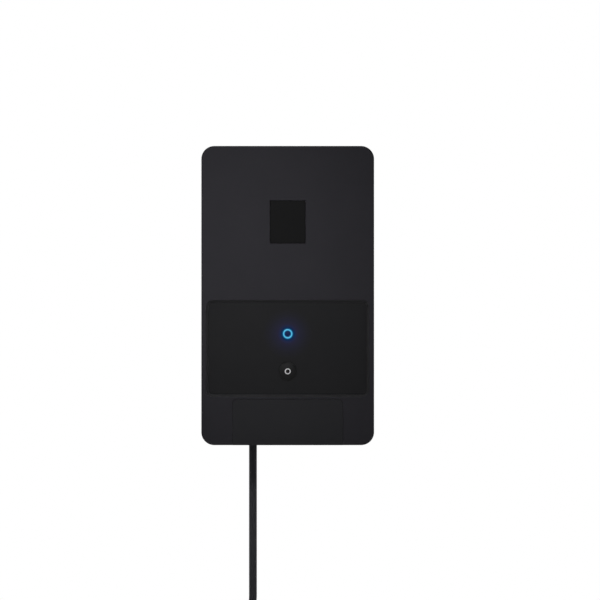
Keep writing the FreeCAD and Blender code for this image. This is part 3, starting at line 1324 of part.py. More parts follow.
def terminal_block():
    """Moulded strip with a barrier on each side of every terminal."""
    half = TERMINAL_COUNT * TERMINAL_WIDTH / 2 + TERMINAL_BARRIER / 2
    low = terminal_middle() - TERMINAL_HEIGHT / 2
    top = low + TERMINAL_HEIGHT
    face = BAY_BACK - TERMINAL_DEPTH
    strip = block(-half, half, BAY_BACK, face, low, top)
    barriers = []
    for index in range(TERMINAL_COUNT + 1):
        x = -TERMINAL_COUNT * TERMINAL_WIDTH / 2 + index * TERMINAL_WIDTH
        edge = TERMINAL_BARRIER / 2
        barriers.append(block(x - edge, x + edge, face, face - TERMINAL_BARRIER_PROUD, low, top))
    pockets = []
    middle = terminal_middle()
    wide = (CLAMP_WIDTH + SNUG_GAP) / 2
    high = (CLAMP_HEIGHT + SNUG_GAP) / 2
    back = face + CLAMP_INSET + CLAMP_DEPTH
    for x in terminal_places():
        pockets.append(block(x - wide, x + wide, face + CLAMP_INSET, back, middle - high, middle + high))
        pockets.append(rod(TERMINAL_SCREW_HEAD_DIAMETER + 2 * SNUG_GAP, face, face + CLAMP_INSET, x, middle))
        pockets.append(upright(CLAMP_WIRE_DIAMETER, low, middle, x, face + CLAMP_INSET + CLAMP_DEPTH / 2))
    return joined([strip] + barriers).cut(pockets)


def terminal_middle():
    """Height of the terminals' screws."""
    return FIXING_Z - GROMMET_DIAMETER / 2 - SLIDE_GAP - TERMINAL_HEIGHT / 2


def terminal_clamps():
    """Brass cages that grip the garden cables."""
    face = BAY_BACK - TERMINAL_DEPTH + CLAMP_INSET
    middle = terminal_middle()
    cages = []
    wide = CLAMP_WIDTH / 2
    high = CLAMP_HEIGHT / 2
    for x in terminal_places():
        cage = block(x - wide, x + wide, face, face + CLAMP_DEPTH, middle - high, middle + high)
        entry = upright(CLAMP_WIRE_DIAMETER, middle - high, middle + high, x, face + CLAMP_DEPTH / 2)
        screw = rod(TERMINAL_SCREW_DIAMETER + 2 * BOLT_FIT, face, face + CLAMP_DEPTH / 2, x, middle)
        cages.append(cage.cut([entry, screw]))
    return group(cages)


def terminal_screws():
    """Slotted screws of the terminals."""
    face = BAY_BACK - TERMINAL_DEPTH + CLAMP_INSET
    middle = terminal_middle()
    screws = []
    top = face - TERMINAL_SCREW_HEAD_HEIGHT
    half = TERMINAL_SCREW_SLOT / 2
    across = TERMINAL_SCREW_HEAD_DIAMETER
    reach = (CLAMP_DEPTH - CLAMP_WIRE_DIAMETER) / 2 - SNUG_GAP
    for x in terminal_places():
        head = rod(TERMINAL_SCREW_HEAD_DIAMETER, top, face, x, middle)
        slot = block(x - across, x + across, top, (top + face) / 2, middle - half, middle + half)
        shank = rod(TERMINAL_SCREW_DIAMETER, face, face + reach, x, middle)
        screws.append(joined([head.cut(slot), shank]))
    return group(screws)


def bay_grommet():
    """Rubber bush in the bay's back wall, round the output wires."""
    bore = GROMMET_DIAMETER - 2 * GROMMET_FLANGE - 2 * BOLT_FIT
    bush = rod(bore, BAY_BACK, SPLIT, GROMMET_X, FIXING_Z)
    rim = rod(GROMMET_DIAMETER, SPLIT, SPLIT + GROMMET_FLANGE, GROMMET_X, FIXING_Z)
    holes = []
    hole = LOW_WIRE_DIAMETER + 2 * SNUG_GAP
    for x in (GROMMET_X - WIRE_PITCH / 2, GROMMET_X + WIRE_PITCH / 2):
        holes.append(rod(hole, BAY_BACK, SPLIT + GROMMET_FLANGE, x, FIXING_Z))
    return joined([bush, rim]).cut(holes)


def terminal_cover():
    """Cover of the bay: front plate, floor with cable slots, cheeks with rail tongues, inner ribs."""
    radius = COVER_CORNER_RADIUS
    tall = COVER_HEIGHT + 2 * radius
    front = plate(COVER_WIDTH, tall, radius, FRONT, COVER_BACK, 0, COVER_TOP - tall / 2)
    front = front.makeFillet(COVER_EDGE_RADIUS, edges_at(front, FRONT))
    front = front.common(block(-BODY_WIDTH, BODY_WIDTH, FRONT, COVER_BACK, BOTTOM, COVER_TOP))
    half = BAY_HALF_WIDTH - SLIDE_GAP
    floor_back = BAY_BACK - SLIDE_GAP
    floor = block(-half, half, COVER_BACK, floor_back, BOTTOM, BOTTOM + COVER_FLOOR)
    added = [floor]
    top = BAY_CEILING - COVER_CHEEK_TOP_GAP
    tongue_from = FRONT + RAIL_FROM_FRONT
    tongue_to = tongue_from + RAIL_TONGUE_THICKNESS
    for side in (-1, 1):
        inner = side * (half - COVER_CHEEK)
        outer = side * half
        added.append(block(inner, outer, COVER_BACK, COVER_BACK + COVER_CHEEK_DEPTH, BOTTOM, top))
        tip = side * (half + RAIL_TONGUE)
        added.append(block(outer, tip, tongue_from, tongue_to, BOTTOM, top))
    for x in outlet_places():
        edge = COVER_RIB_WIDTH / 2
        added.append(block(x - edge, x + edge, COVER_BACK, COVER_BACK + COVER_RIB_HEIGHT, BOTTOM, top))
    slots = []
    edge = OUTLET_WIDTH / 2
    deep = floor_back - OUTLET_REACH + edge
    for x in outlet_places():
        slots.append(block(x - edge, x + edge, floor_back, deep, BOTTOM, BOTTOM + COVER_FLOOR))
        slots.append(upright(OUTLET_WIDTH, BOTTOM, BOTTOM + COVER_FLOOR, x, deep))
    return joined([front] + added).cut(slots)


def arc_through(start, tangent, end):
    """Arc that leaves start along tangent and ends at end."""
    chord = end - start
    half = chord.Length / 2
    angle = tangent.getAngle(chord)
    middle = start + chord * 0.5
    if angle < 1e-9:
        return Part.LineSegment(start, end).toShape()
    along = Vector(chord)
    along.normalize()
    side = tangent - along * tangent.dot(along)
    side.normalize()
    return Part.Arc(start, middle + side * (half * math.tan(angle / 2)), end).toShape()


def biarc(start, tangent, end, end_tangent):
    """Two arcs that join smoothly between two places with given directions."""
    span = end - start
    both = tangent + end_tangent
    spread = 2 * (1 - tangent.dot(end_tangent))
    if spread < 1e-9:
        reach = span.dot(span) / (4 * span.dot(end_tangent))
    else:
        lean = span.dot(both)
        reach = (-lean + math.sqrt(lean**2 + spread * span.dot(span))) / spread
    before = start + tangent * reach
    after = end - end_tangent * reach
    meet = (before + after) * 0.5
    direction = after - before
    direction.normalize()
    return [arc_through(start, tangent, meet), arc_through(meet, direction, end)]


def coil_entry_angle():
    """How far the lead turns to meet its coil so that the coil hangs below the lead."""
    outer = COIL_MIDDLE_RADIUS + TURN_STEP
    return math.atan(outer / (CORD_BEND_RUN + CORD_DIAMETER))


def cord_route():
    """Hand-chosen points of the hanging lead: out of the box, down, and aside to the coil."""
    lean = coil_entry_angle()
    corner = Vector(CORD_X, CORD_Y, CORD_BEND_Z)
    aside = Vector(-math.sin(lean), 0, -math.cos(lean))
    return [Vector(CORD_X, CORD_Y, BOTTOM), corner, corner + aside * CORD_BEND_RUN]


def coil_knots():
    """Places and directions at every quarter turn of the coil, then of the flare to the plug."""
    start = cord_route()[-1]
    lean = coil_entry_angle()
    heading = Vector(-math.sin(lean), 0, -math.cos(lean))
    knots = [(start, heading), (start + heading * CORD_DIAMETER, heading)]
    outer = COIL_MIDDLE_RADIUS + TURN_STEP
    inward = Vector(math.cos(lean), 0, -math.sin(lean))
    centre = start + heading * CORD_DIAMETER + inward * outer
    angle = math.atan2(-inward.z, -inward.x)
    radii = []
    climbs = []
    for layer in range(COIL_LAYERS):
        last = layer == COIL_LAYERS - 1
        count = COIL_LAST_HALF_TURNS if last else COIL_HALF_TURNS
        steps = range(COIL_HALF_TURNS) if layer % 2 == 0 else reversed(range(COIL_HALF_TURNS))
        layer_radii = [outer - TURN_STEP * step for step in steps][:count]
        for radius in layer_radii:
            radii.append(radius)
            climbs.append(0.0)
        if not last:
            turning_in = layer % 2 == 0
            radii.append(outer - TURN_STEP * COIL_HALF_TURNS if turning_in else outer + TURN_STEP)
            climbs.append(-TURN_PITCH)
    depth = 0.0
    previous = radii[0]
    for index, (radius, climb) in enumerate(zip(radii, climbs)):
        if index:
            centre = centre + Vector(math.cos(angle), 0, math.sin(angle)) * (previous - radius)
        for quarter in (1, 2):
            turn = quarter * math.pi / 2
            spot = centre + Vector(math.cos(angle + turn), 0, math.sin(angle + turn)) * radius
            share = quarter / 2
            spot.y = CORD_Y + depth + climb * share
            slope = climb / (math.pi * radius) if quarter == 1 else 0.0
            direction = Vector(-math.sin(angle + turn), CLIMB_LEAN * slope, math.cos(angle + turn))
            direction.normalize()
            knots.append((spot, direction))
        depth += climb
        angle += math.pi
        previous = radius
    centre = centre + Vector(math.cos(angle), 0, math.sin(angle)) * (previous - FLARE_RADIUS)
    remaining = math.pi - (angle % (2 * math.pi))
    for part in (1, 2):
        turn = remaining * part / 2
        spot = centre + Vector(math.cos(angle + turn), 0, math.sin(angle + turn)) * FLARE_RADIUS
        spot.y = CORD_Y + depth
        knots.append((spot, Vector(-math.sin(angle + turn), 0, math.cos(angle + turn))))
    down = Vector(0, 0, -1)
    knots.append((knots[-1][0] + down * CORD_DIAMETER, down))
    return knots


def coil_path():
    """One unbroken line of arcs through the coil's knots."""
    knots = coil_knots()
    edges = []
    for (start, heading), (end, end_heading) in zip(knots, knots[1:]):
        straight = (end - start).getAngle(heading) < 1e-6 and heading.getAngle(end_heading) < 1e-6
        if straight:
            edges.append(Part.LineSegment(start, end).toShape())
        else:
            edges.extend(biarc(start, heading, end, end_heading))
    return Part.Wire(edges)


def least_gap(path, diameter):
    """Smallest clear space between turns, from many points along the path."""
    points = path.discretize(Number=COIL_LOOKS)
    count = len(points)
    step = path.Length / (count - 1)
    apart = int(4 * diameter / step)
    least = 1e9
    for index in range(0, count, 2):
        for other in range(index + apart, count):
            offset = points[other] - points[index]
            distance = offset.Length
            if distance < least:
                least = distance
    return least - diameter


def mains_cord():
    """Free stretch of the lead, from the strain relief to the coil."""
    path, radii = rounded_path(cord_route())
    print("  lead radii", [round(radius, 1) for radius in radii])
    return tube_on(path, CORD_DIAMETER)


def mains_coil():
    """The rest of the lead, wound and put away."""
    path = coil_path()
    print(f"  coil's least gap to itself {least_gap(path, CORD_DIAMETER):.2f}")
    return tube_on(path, CORD_DIAMETER)


def coil_centre():
    """Middle of the coil, seen from the front."""
    knots = coil_knots()
    lean = coil_entry_angle()
    outer = COIL_MIDDLE_RADIUS + TURN_STEP
    return knots[1][0] + Vector(math.cos(lean), 0, -math.sin(lean)) * outer


def bundle_box():
    """How far the turns reach from the coil's centre, and along Y, where the tie goes round."""
    centre = coil_centre()
    points = coil_path().discretize(Number=COIL_LOOKS)
    near = []
    for point in points:
        flat = point - centre
        angle = math.degrees(math.atan2(flat.z, flat.x))
        if abs(angle - TIE_ANGLE) < TIE_SECTOR:
            near.append((math.hypot(flat.x, flat.z), point.y))
    reach = CORD_DIAMETER / 2 + SLIDE_GAP
    radii = [radius for radius, depth in near]
    depths = [depth for radius, depth in near]
    return min(radii) - reach, max(radii) + reach, min(depths) - reach, max(depths) + reach


def coil_tie():
    """Flat strap round the bundle of turns."""
    inner, outer, front, back = bundle_box()
    centre = coil_centre()
    grow = TIE_THICKNESS
    half = TIE_WIDTH / 2
    strap = block(inner - grow, outer + grow, front - grow, back + grow, -half, half)
    level = [edge for edge in strap.Edges if edge.BoundBox.ZLength > half]
    strap = strap.makeFillet(TIE_ROUNDING, level)
    opening = block(inner, outer, front, back, -TIE_WIDTH, TIE_WIDTH)
    strap = strap.cut(opening)
    strap.rotate(Vector(0, 0, 0), Vector(0, 1, 0), -TIE_ANGLE)
    strap.translate(Vector(centre.x, 0, centre.z))
    return strap


def plug_top():
    """End of the coil, where the plug's sleeve starts."""
    return coil_knots()[-1][0]


def plug_section(width, thickness, radius, down):
    """Level outline of the plug's body, a little way down from its top."""
    return level_outline(width, thickness, radius, plug_top() - Vector(0, 0, down))


def mains_plug():
    """Moulded plug: ribbed sleeve, shoulder and body."""
    top = plug_top()
    tip = PLUG_SLEEVE_TIP_DIAMETER / 2
    root = PLUG_SLEEVE_ROOT_DIAMETER / 2
    sleeve = Part.makeCone(tip, root, PLUG_SLEEVE_LENGTH, top, Vector(0, 0, -1))
    core = PLUG_SLEEVE_TIP_DIAMETER - 2 * PLUG_GROOVE_RIM
    grooves = []
    for index in range(PLUG_GROOVES):
        low = top.z - PLUG_GROOVE_START - PLUG_GROOVE_SPACING * index - PLUG_GROOVE_WIDTH / 2
        high = low + PLUG_GROOVE_WIDTH
        disc = upright(2 * PLUG_SLEEVE_ROOT_DIAMETER, low, high, top.x, top.y)
        grooves.append(disc.cut(upright(core, low, high, top.x, top.y)))
    shoulder_from = PLUG_SLEEVE_LENGTH
    shoulder_to = shoulder_from + PLUG_SHOULDER_LENGTH
    body_to = shoulder_to + PLUG_BODY_LENGTH
    neck = plug_section(PLUG_SLEEVE_ROOT_DIAMETER, PLUG_SLEEVE_ROOT_DIAMETER, PLUG_NECK_RADIUS, shoulder_from)
    wide = plug_section(PLUG_WIDTH, PLUG_THICKNESS, PLUG_CORNER_RADIUS, shoulder_to)
    narrow = PLUG_WIDTH - PLUG_WAIST_WIDTH
    thin = PLUG_THICKNESS - PLUG_WAIST_THICKNESS
    waist = plug_section(narrow, thin, PLUG_CORNER_RADIUS, (shoulder_to + body_to) / 2)
    end = plug_section(PLUG_WIDTH, PLUG_THICKNESS, PLUG_CORNER_RADIUS, body_to)
    lofts = [Part.makeLoft(pair, True, True) for pair in ([neck, wide], [wide, waist], [waist, end])]
    return joined([sleeve.cut(grooves)] + lofts)


def plug_pins():
    """Two flat blades and a round earth pin."""
    top = plug_top()
    face = top.z - PLUG_SLEEVE_LENGTH - PLUG_SHOULDER_LENGTH - PLUG_BODY_LENGTH
    pins = []
    blade_y = top.y + BLADE_OFFSET
    for side in (-1, 1):
        x = top.x + side * BLADE_SPACING / 2
        thin = BLADE_THICKNESS / 2
        wide = BLADE_WIDTH / 2
        tip = face - BLADE_LENGTH
        blade = block(x - thin, x + thin, blade_y - wide, blade_y + wide, tip, face)
        ends = [edge for edge in blade.Edges if edge.BoundBox.ZMax < tip + TOUCH]
        pins.append(blade.makeChamfer(BLADE_CHAMFER, ends))
    tip = face - GROUND_LENGTH
    earth = upright(GROUND_DIAMETER, tip, face, top.x, blade_y - GROUND_OFFSET)
    ends = [edge for edge in earth.Edges if edge.BoundBox.ZMax < tip + TOUCH]
    pins.append(earth.makeFillet(GROUND_DIAMETER / 2 - GROUND_TIP_FLAT, ends))
    return group(pins)


def pieces():
    """Every node of the hub by its name."""
    found = {
        "front_housing": front_housing(),
        "rear_housing": rear_housing(),
        "housing_seal": housing_seal(),
        "housing_screws": housing_screws(),
        "badge_plate": badge_plate(),
        "control_fascia": control_fascia(),
        "light_ring": light_ring(),
        "light_ring_core": light_ring_core(),
        "button_cap": button_cap(),
        "button_mark": button_mark(),
        "button_boot": button_boot(),
        "switch_body": switch_body(),
        "switch_plunger": switch_plunger(),
        "control_board": control_board(),
        "board_screws": board_screws(),
        "status_leds": status_leds(),
        "transformer_winding": transformer_winding(),
        "transformer_pad_rear": transformer_pad(PAD_DIAMETER, BACK_INSIDE),
        "transformer_pad_front": transformer_pad(DISH_DIAMETER, toroid_front()),
        "transformer_dish": transformer_dish(),
        "transformer_bolt": transformer_bolt(),
        "transformer_insert": transformer_insert(),
        "thermal_cutout": thermal_cutout(),
        "strain_relief": strain_relief(),
        "inner_cord": inner_cord(),
        "cord_clamp": cord_clamp(),
        "clamp_screws": clamp_screws(),
        "mains_connector": mains_connector(),
        "mains_wires": mains_wires(),
        "primary_wires": primary_wires(),
        "secondary_wires": secondary_wires(),
        "output_wires": output_wires(),
        "terminal_block": terminal_block(),
        "terminal_clamps": terminal_clamps(),
        "terminal_screws": terminal_screws(),
        "bay_grommet": bay_grommet(),
        "terminal_cover": terminal_cover(),
        "mains_cord": mains_cord(),
        "mains_coil": mains_coil(),
        "coil_tie": coil_tie(),
        "mains_plug": mains_plug(),
        "plug_pins": plug_pins(),
    }
    found.update(board_parts())
    return found


os.makedirs("parts", exist_ok=True)
for name, shape in pieces().items():
    shape.exportStep(f"parts/{name}.step")
    box = shape.BoundBox
    size = f"{box.XLength:.1f} x {box.YLength:.1f} x {box.ZLength:.1f}"
    print(f"{name}: {len(shape.Solids)} solids, {size}, valid {shape.isValid()}")
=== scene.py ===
# %% [markdown]
# # A garden lighting smart hub
# A flat plastic box that hangs on an outside wall and feeds the low-voltage lights of a garden. From the
# front it shows a tall dark face, a small square plate, a recessed control panel with a lit ring and a push
# button, a cover over the cable terminals, and the mains lead that drops out of the bottom. All of its
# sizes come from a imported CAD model, which is loaded here as the frame. What the eye meets first is then
# modelled again with softer edges, and every piece gets a surface worked out from its real material.

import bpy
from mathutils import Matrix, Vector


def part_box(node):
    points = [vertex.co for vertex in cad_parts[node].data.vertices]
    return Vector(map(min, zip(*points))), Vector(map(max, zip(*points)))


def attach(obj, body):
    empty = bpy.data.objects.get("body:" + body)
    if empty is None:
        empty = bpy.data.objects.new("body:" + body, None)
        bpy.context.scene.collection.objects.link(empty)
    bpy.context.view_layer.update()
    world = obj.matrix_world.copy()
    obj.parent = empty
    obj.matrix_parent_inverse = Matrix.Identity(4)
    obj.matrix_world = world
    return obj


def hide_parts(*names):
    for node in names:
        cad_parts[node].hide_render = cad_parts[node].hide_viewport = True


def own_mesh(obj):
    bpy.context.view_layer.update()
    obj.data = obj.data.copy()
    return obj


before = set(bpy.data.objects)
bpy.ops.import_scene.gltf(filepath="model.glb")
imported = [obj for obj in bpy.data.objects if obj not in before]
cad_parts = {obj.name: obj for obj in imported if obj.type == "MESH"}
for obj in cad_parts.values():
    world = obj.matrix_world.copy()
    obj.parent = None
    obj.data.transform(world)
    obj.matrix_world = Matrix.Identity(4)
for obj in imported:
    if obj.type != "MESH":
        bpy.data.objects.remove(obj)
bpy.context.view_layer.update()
print("pieces in the frame:", len(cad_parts))

# %% [markdown]
# ## Units and colours
# Blender counts in metres and in linear light, while a maker counts in millimetres and picks colours as
# hex values on a screen. Two small helpers keep the rest of the script in the maker's units.

# %% Millimetres and hex colours
import math

import bmesh
import bpy
from mathutils import Matrix, Vector

MM = 0.001


def linear(hex_colour):
    """Linear red, green, blue and alpha of an sRGB hex colour such as 302F34."""
    found = []
    for start in (0, 2, 4):
        value = int(hex_colour[start:start + 2], 16) / 255
        found.append(value / 12.92 if value <= 0.04045 else ((value + 0.055) / 1.055) ** 2.4)
    return (*found, 1.0)


print("dark housing in linear light:", [round(value, 4) for value in linear("302F34")[:3]])

# %% [markdown]
# ## The camera
# The photograph looks straight at the front from far enough away that nothing converges. A long lens
# three metres off does the same. Its focal length follows from how many millimetres of the front plane
# the picture's width takes in, and its place from where the middle of the picture falls on the box.

# %% Camera
PICTURE_PIXELS = 600
MM_PER_PIXEL = 0.8019
BOX_MIDDLE_PIXEL = (287.7, 295.55)
CAMERA_DISTANCE = 3000.0
SENSOR_WIDTH = 36.0

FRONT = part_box("front_housing")[0].y / MM
camera_x = (PICTURE_PIXELS / 2 - BOX_MIDDLE_PIXEL[0]) * MM_PER_PIXEL
camera_z = (BOX_MIDDLE_PIXEL[1] - PICTURE_PIXELS / 2) * MM_PER_PIXEL
lens = bpy.data.cameras.new("camera")
lens.sensor_width = SENSOR_WIDTH
lens.lens = SENSOR_WIDTH * CAMERA_DISTANCE / (PICTURE_PIXELS * MM_PER_PIXEL)
camera = bpy.data.objects.new("camera", lens)
bpy.context.scene.collection.objects.link(camera)
camera.location = Vector((camera_x, FRONT - CAMERA_DISTANCE, camera_z)) * MM
camera.rotation_euler = (math.pi / 2, 0, 0)
bpy.context.scene.camera = camera
bpy.context.scene.view_settings.view_transform = "Standard"
print(f"focal length {lens.lens:.1f} mm, front plane at y = {FRONT:.1f} mm")

# %% [markdown]
# ## The mains lead
# A round, fairly stiff rubber cable of about 1.7 m. It leaves its sleeve under the box, hangs straight
# down, and what the picture doesn't show is wound into a tied coil just below the picture's edge, with
# the plug at its end. A NURBS curve with a round bevel suits it: listed points give the hanging stretch,
# and a loop places those of the turns. Points at the corners of a polygon round each turn pull the curve
# onto the circle inside it, so they stand a little outside the turn's radius. A curve's box counts each
# point's radius as a length, so the bevel is one metre deep and the points carry the real radius; a
# bevel of 3.2 mm with the usual radius of 1 would give the same lead and a box two metres wide.

# %% The lead's route
LEAD_DIAMETER = 6.4
LEAD_EXIT = Vector((-28.6, -19.0, -120.0))
LEAD_CORNER = Vector((-28.6, -19.0, -263.0))
LEAD_RUN = 34.0
OUTER_TURN = 38.5

lean = math.atan(OUTER_TURN / (LEAD_RUN + LEAD_DIAMETER))
heading = Vector((-math.sin(lean), 0, -math.cos(lean)))
inward = Vector((math.cos(lean), 0, -math.sin(lean)))
lead_end = LEAD_CORNER + heading * LEAD_RUN
route = [LEAD_EXIT, LEAD_CORNER + Vector((0, 0, LEAD_RUN)), LEAD_CORNER, lead_end]
print(f"lead hangs {LEAD_EXIT.z - LEAD_CORNER.z:.0f} mm and leans {math.degrees(lean):.0f} degrees")

# %% Turns of the coil
TURN_PITCH = 7.0
LAYERS = 4
HALF_TURNS_IN_LAYER = 3
HALF_TURNS_IN_LAST = 2
STEPS_PER_HALF_TURN = 12
FLARE_RADIUS = 58.0
FLARE_STEPS = 4


def arc_points(centre, radius, start_angle, sweep, steps, depth_from=0.0, depth_to=0.0):
    """Control points whose curve is an arc seen from the front, with a smooth change of depth."""
    points = []
    outside = radius / math.cos(sweep / steps / 2)
    for step in range(steps):
        share = (step + 0.5) / steps
        angle = start_angle + sweep * share
        ease = share * share * (3 - 2 * share)
        spot = centre + Vector((math.cos(angle), 0, math.sin(angle))) * outside
        spot.y = depth_from + (depth_to - depth_from) * ease
        points.append(spot)
    return points


def coil_turns():
    """Radius and depth step of every half turn: in, back a layer, out, back a layer, and so on."""
    step = TURN_PITCH / 2
    inwards = [OUTER_TURN - step * count for count in range(HALF_TURNS_IN_LAYER)]
    turns = []
    for layer in range(LAYERS):
        radii = inwards if layer % 2 == 0 else inwards[::-1]
        if layer == LAYERS - 1:
            turns += [(radius, 0.0) for radius in radii[:HALF_TURNS_IN_LAST]]
            break
        turns += [(radius, 0.0) for radius in radii]
        turns.append((radii[-1] - step if layer % 2 == 0 else radii[-1] + step, -TURN_PITCH))
    return turns


coil_start = lead_end + heading * LEAD_DIAMETER
centre = coil_start + inward * OUTER_TURN
angle = math.atan2(-inward.z, -inward.x)
depth = LEAD_EXIT.y
previous = OUTER_TURN
for radius, climb in coil_turns():
    centre = centre + Vector((math.cos(angle), 0, math.sin(angle))) * (previous - radius)
    route += arc_points(centre, radius, angle, math.pi, STEPS_PER_HALF_TURN, depth, depth + climb)
    angle += math.pi
    depth += climb
    previous = radius
centre = centre + Vector((math.cos(angle), 0, math.sin(angle))) * (previous - FLARE_RADIUS)
left_to_turn = math.pi - angle % (2 * math.pi)
route += arc_points(centre, FLARE_RADIUS, angle, left_to_turn, FLARE_STEPS, depth, depth)
plug_top = Vector((centre.x - FLARE_RADIUS, depth, centre.z - LEAD_DIAMETER))
route.append(plug_top)
print(f"route of {len(route)} points, plug from {tuple(round(value, 1) for value in plug_top)}")

# %% The lead as a curve
lead_curve = bpy.data.curves.new("mains_lead", "CURVE")
lead_curve.dimensions = "3D"
lead_curve.bevel_depth = 1.0
lead_curve.bevel_resolution = 6
lead_curve.resolution_u = 6
lead_curve.use_fill_caps = True
spline = lead_curve.splines.new("NURBS")
spline.points.add(len(route) - 1)
for point, place in zip(spline.points, route):
    point.co = (*(place * MM), 1.0)
    point.radius = LEAD_DIAMETER / 2 * MM
spline.order_u = 3
spline.use_endpoint_u = True
lead = bpy.data.objects.new("mains_lead", lead_curve)
bpy.context.scene.collection.objects.link(lead)
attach(lead, "housing")
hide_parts("mains_cord", "mains_coil")
print(f"lead's spline {spline.calc_length():.3f} m")

# %% [markdown]
# ## A white picture with soft studio light
# The photograph is cut out on pure white. The world gives that white to the camera, and to what shows
# through or mirrors the space behind the box, while a plain grey room in front lights it softly. White
# paper under strong lamps would look the same, but so much light would bleach the dark plastic too.

# %% One function for every node
def add_node(tree, kind, inputs=None, **properties):
    """Adds a node, sets its properties, and sets or links its inputs by name or number."""
    node = tree.nodes.new(kind)
    for name, value in properties.items():
        setattr(node, name, value)
    for socket, value in (inputs or {}).items():
        if isinstance(value, bpy.types.NodeSocket):
            tree.links.new(value, node.inputs[socket])
        else:
            node.inputs[socket].default_value = value
    return node


# %% World
ROOM_LIGHT = 0.19
BACKDROP_FROM = 0.8

world = bpy.data.worlds.new("white_sweep")
bpy.context.scene.world = world
world.use_nodes = True
tree = world.node_tree
tree.nodes.clear()
ray = add_node(tree, "ShaderNodeLightPath")
looks = add_node(tree, "ShaderNodeTexCoord")
toward = add_node(tree, "ShaderNodeSeparateXYZ", {0: looks.outputs["Generated"]})
behind = add_node(
    tree, "ShaderNodeMapRange", {"Value": toward.outputs["Y"], "From Min": BACKDROP_FROM, "From Max": 1.0}
)
mirrored = add_node(
    tree, "ShaderNodeMath", {0: ray.outputs["Is Glossy Ray"], 1: behind.outputs["Result"]},
    operation="MULTIPLY",
)
straight = add_node(
    tree, "ShaderNodeMath", {0: ray.outputs["Is Camera Ray"], 1: ray.outputs["Is Transmission Ray"]},
    operation="MAXIMUM",
)
seen = add_node(
    tree, "ShaderNodeMath", {0: straight.outputs[0], 1: mirrored.outputs[0]}, operation="MAXIMUM"
)
strength = add_node(
    tree, "ShaderNodeMapRange", {"Value": seen.outputs[0], "To Min": ROOM_LIGHT, "To Max": 1.0}
)
sweep = add_node(
    tree, "ShaderNodeBackground", {"Color": (1, 1, 1, 1), "Strength": strength.outputs["Result"]}
)
add_node(tree, "ShaderNodeOutputWorld", {"Surface": sweep.outputs[0]})
print("room light", ROOM_LIGHT)

# %% [markdown]
# ## Lamps
# A softbox at the upper left lights the front. Its beam is narrow, so that the light fades towards the
# lower right as in the photograph, and it packs its power, so an eighth of a watt does. Two lamps behind
# the box light its sides, and a higher one its back and top; none of them reaches the front. A point lamp
# would need no size or aim, but its highlights are small and hard.

# %% Lamps
def softbox(name, place, aim, size, power, spread=180):
    """Square lamp aimed at a point, with places and size in millimetres and its beam in degrees."""
    light = bpy.data.lights.new(name, "AREA")
    light.size = size * MM
    light.energy = power
    light.spread = math.radians(spread)
    lamp = bpy.data.objects.new(name, light)
    bpy.context.scene.collection.objects.link(lamp)
    lamp.location = Vector(place) * MM
    lamp.rotation_euler = (Vector(aim) - Vector(place)).to_track_quat("-Z", "Y").to_euler()
    return lamp


softbox("key_lamp", (-150, -800, 380), (-41, -78, 27), size=200, power=0.127, spread=28.8)
softbox("left_lamp", (-750, 700, 250), (0, -30, 0), size=500, power=5.5)
softbox("right_lamp", (750, 700, 250), (0, -30, 0), size=500, power=5.5)
softbox("back_lamp", (250, 1000, 700), (0, 0, 0), size=600, power=6.0)
print("lamps:", [light.name for light in bpy.data.lights])

# %% [markdown]
# ## Floor
# A disc of pale paper lies well below the plug. The room is too dim to make it look white, so it shines a
# little for the camera alone, which leaves the object's light and the soft shadow as they are. Its rim
# fades away, because a plain disc would show its edge against the white.

# %% Floor
FLOOR_LEVEL = -450.0
FLOOR_RADIUS = 1300.0
FADE_FROM = 550.0
FADE_TO = 0.98 * FLOOR_RADIUS
PAPER_LIFT = 0.5

work = bmesh.new()
bmesh.ops.create_circle(work, cap_ends=True, radius=FLOOR_RADIUS * MM, segments=96)
bmesh.ops.translate(work, vec=(0, 0, FLOOR_LEVEL * MM), verts=work.verts)
floor_mesh = bpy.data.meshes.new("floor")
work.to_mesh(floor_mesh)
work.free()
floor = bpy.data.objects.new("floor", floor_mesh)
bpy.context.scene.collection.objects.link(floor)
paper = bpy.data.materials.new("pale_floor_paper")
paper.use_nodes = True
tree = paper.node_tree
tree.nodes.clear()
place = add_node(tree, "ShaderNodeTexCoord")
away = add_node(tree, "ShaderNodeVectorMath", {0: place.outputs["Object"]}, operation="LENGTH")
fade = add_node(
    tree, "ShaderNodeMapRange",
    {"Value": away.outputs["Value"], "From Min": FADE_FROM * MM, "From Max": FADE_TO * MM},
    interpolation_type="SMOOTHSTEP",
)
matt = add_node(tree, "ShaderNodeBsdfDiffuse", {"Color": linear("DCDCDA"), "Roughness": 0.6})
ray = add_node(tree, "ShaderNodeLightPath")
lift = add_node(
    tree, "ShaderNodeMath", {0: ray.outputs["Is Camera Ray"], 1: PAPER_LIFT}, operation="MULTIPLY"
)
shine = add_node(tree, "ShaderNodeEmission", {"Color": linear("F4F4F2"), "Strength": lift.outputs[0]})
lit = add_node(tree, "ShaderNodeAddShader", {0: matt.outputs[0], 1: shine.outputs[0]})
clear = add_node(tree, "ShaderNodeBsdfTransparent")
mixed = add_node(
    tree, "ShaderNodeMixShader", {"Fac": fade.outputs["Result"], 1: lit.outputs[0], 2: clear.outputs[0]}
)
add_node(tree, "ShaderNodeOutputMaterial", {"Surface": mixed.outputs[0]})
floor_mesh.materials.append(paper)
print(f"floor {2 * FLOOR_RADIUS / 1000:.1f} m across")

# %% [markdown]
# ## Softened copies of moulded pieces
# A moulded shell has no knife edge: the steel tool rounds every corner by a few tenths of a millimetre,
# and that thin round is what catches light along each edge. The shell is far too rich in ribs and bosses
# to draw twice, so its own mesh is copied, the loose triangles are merged into whole faces, and a bevel
# rounds what is sharp. The other front pieces are plain enough to be modelled from scratch further on.

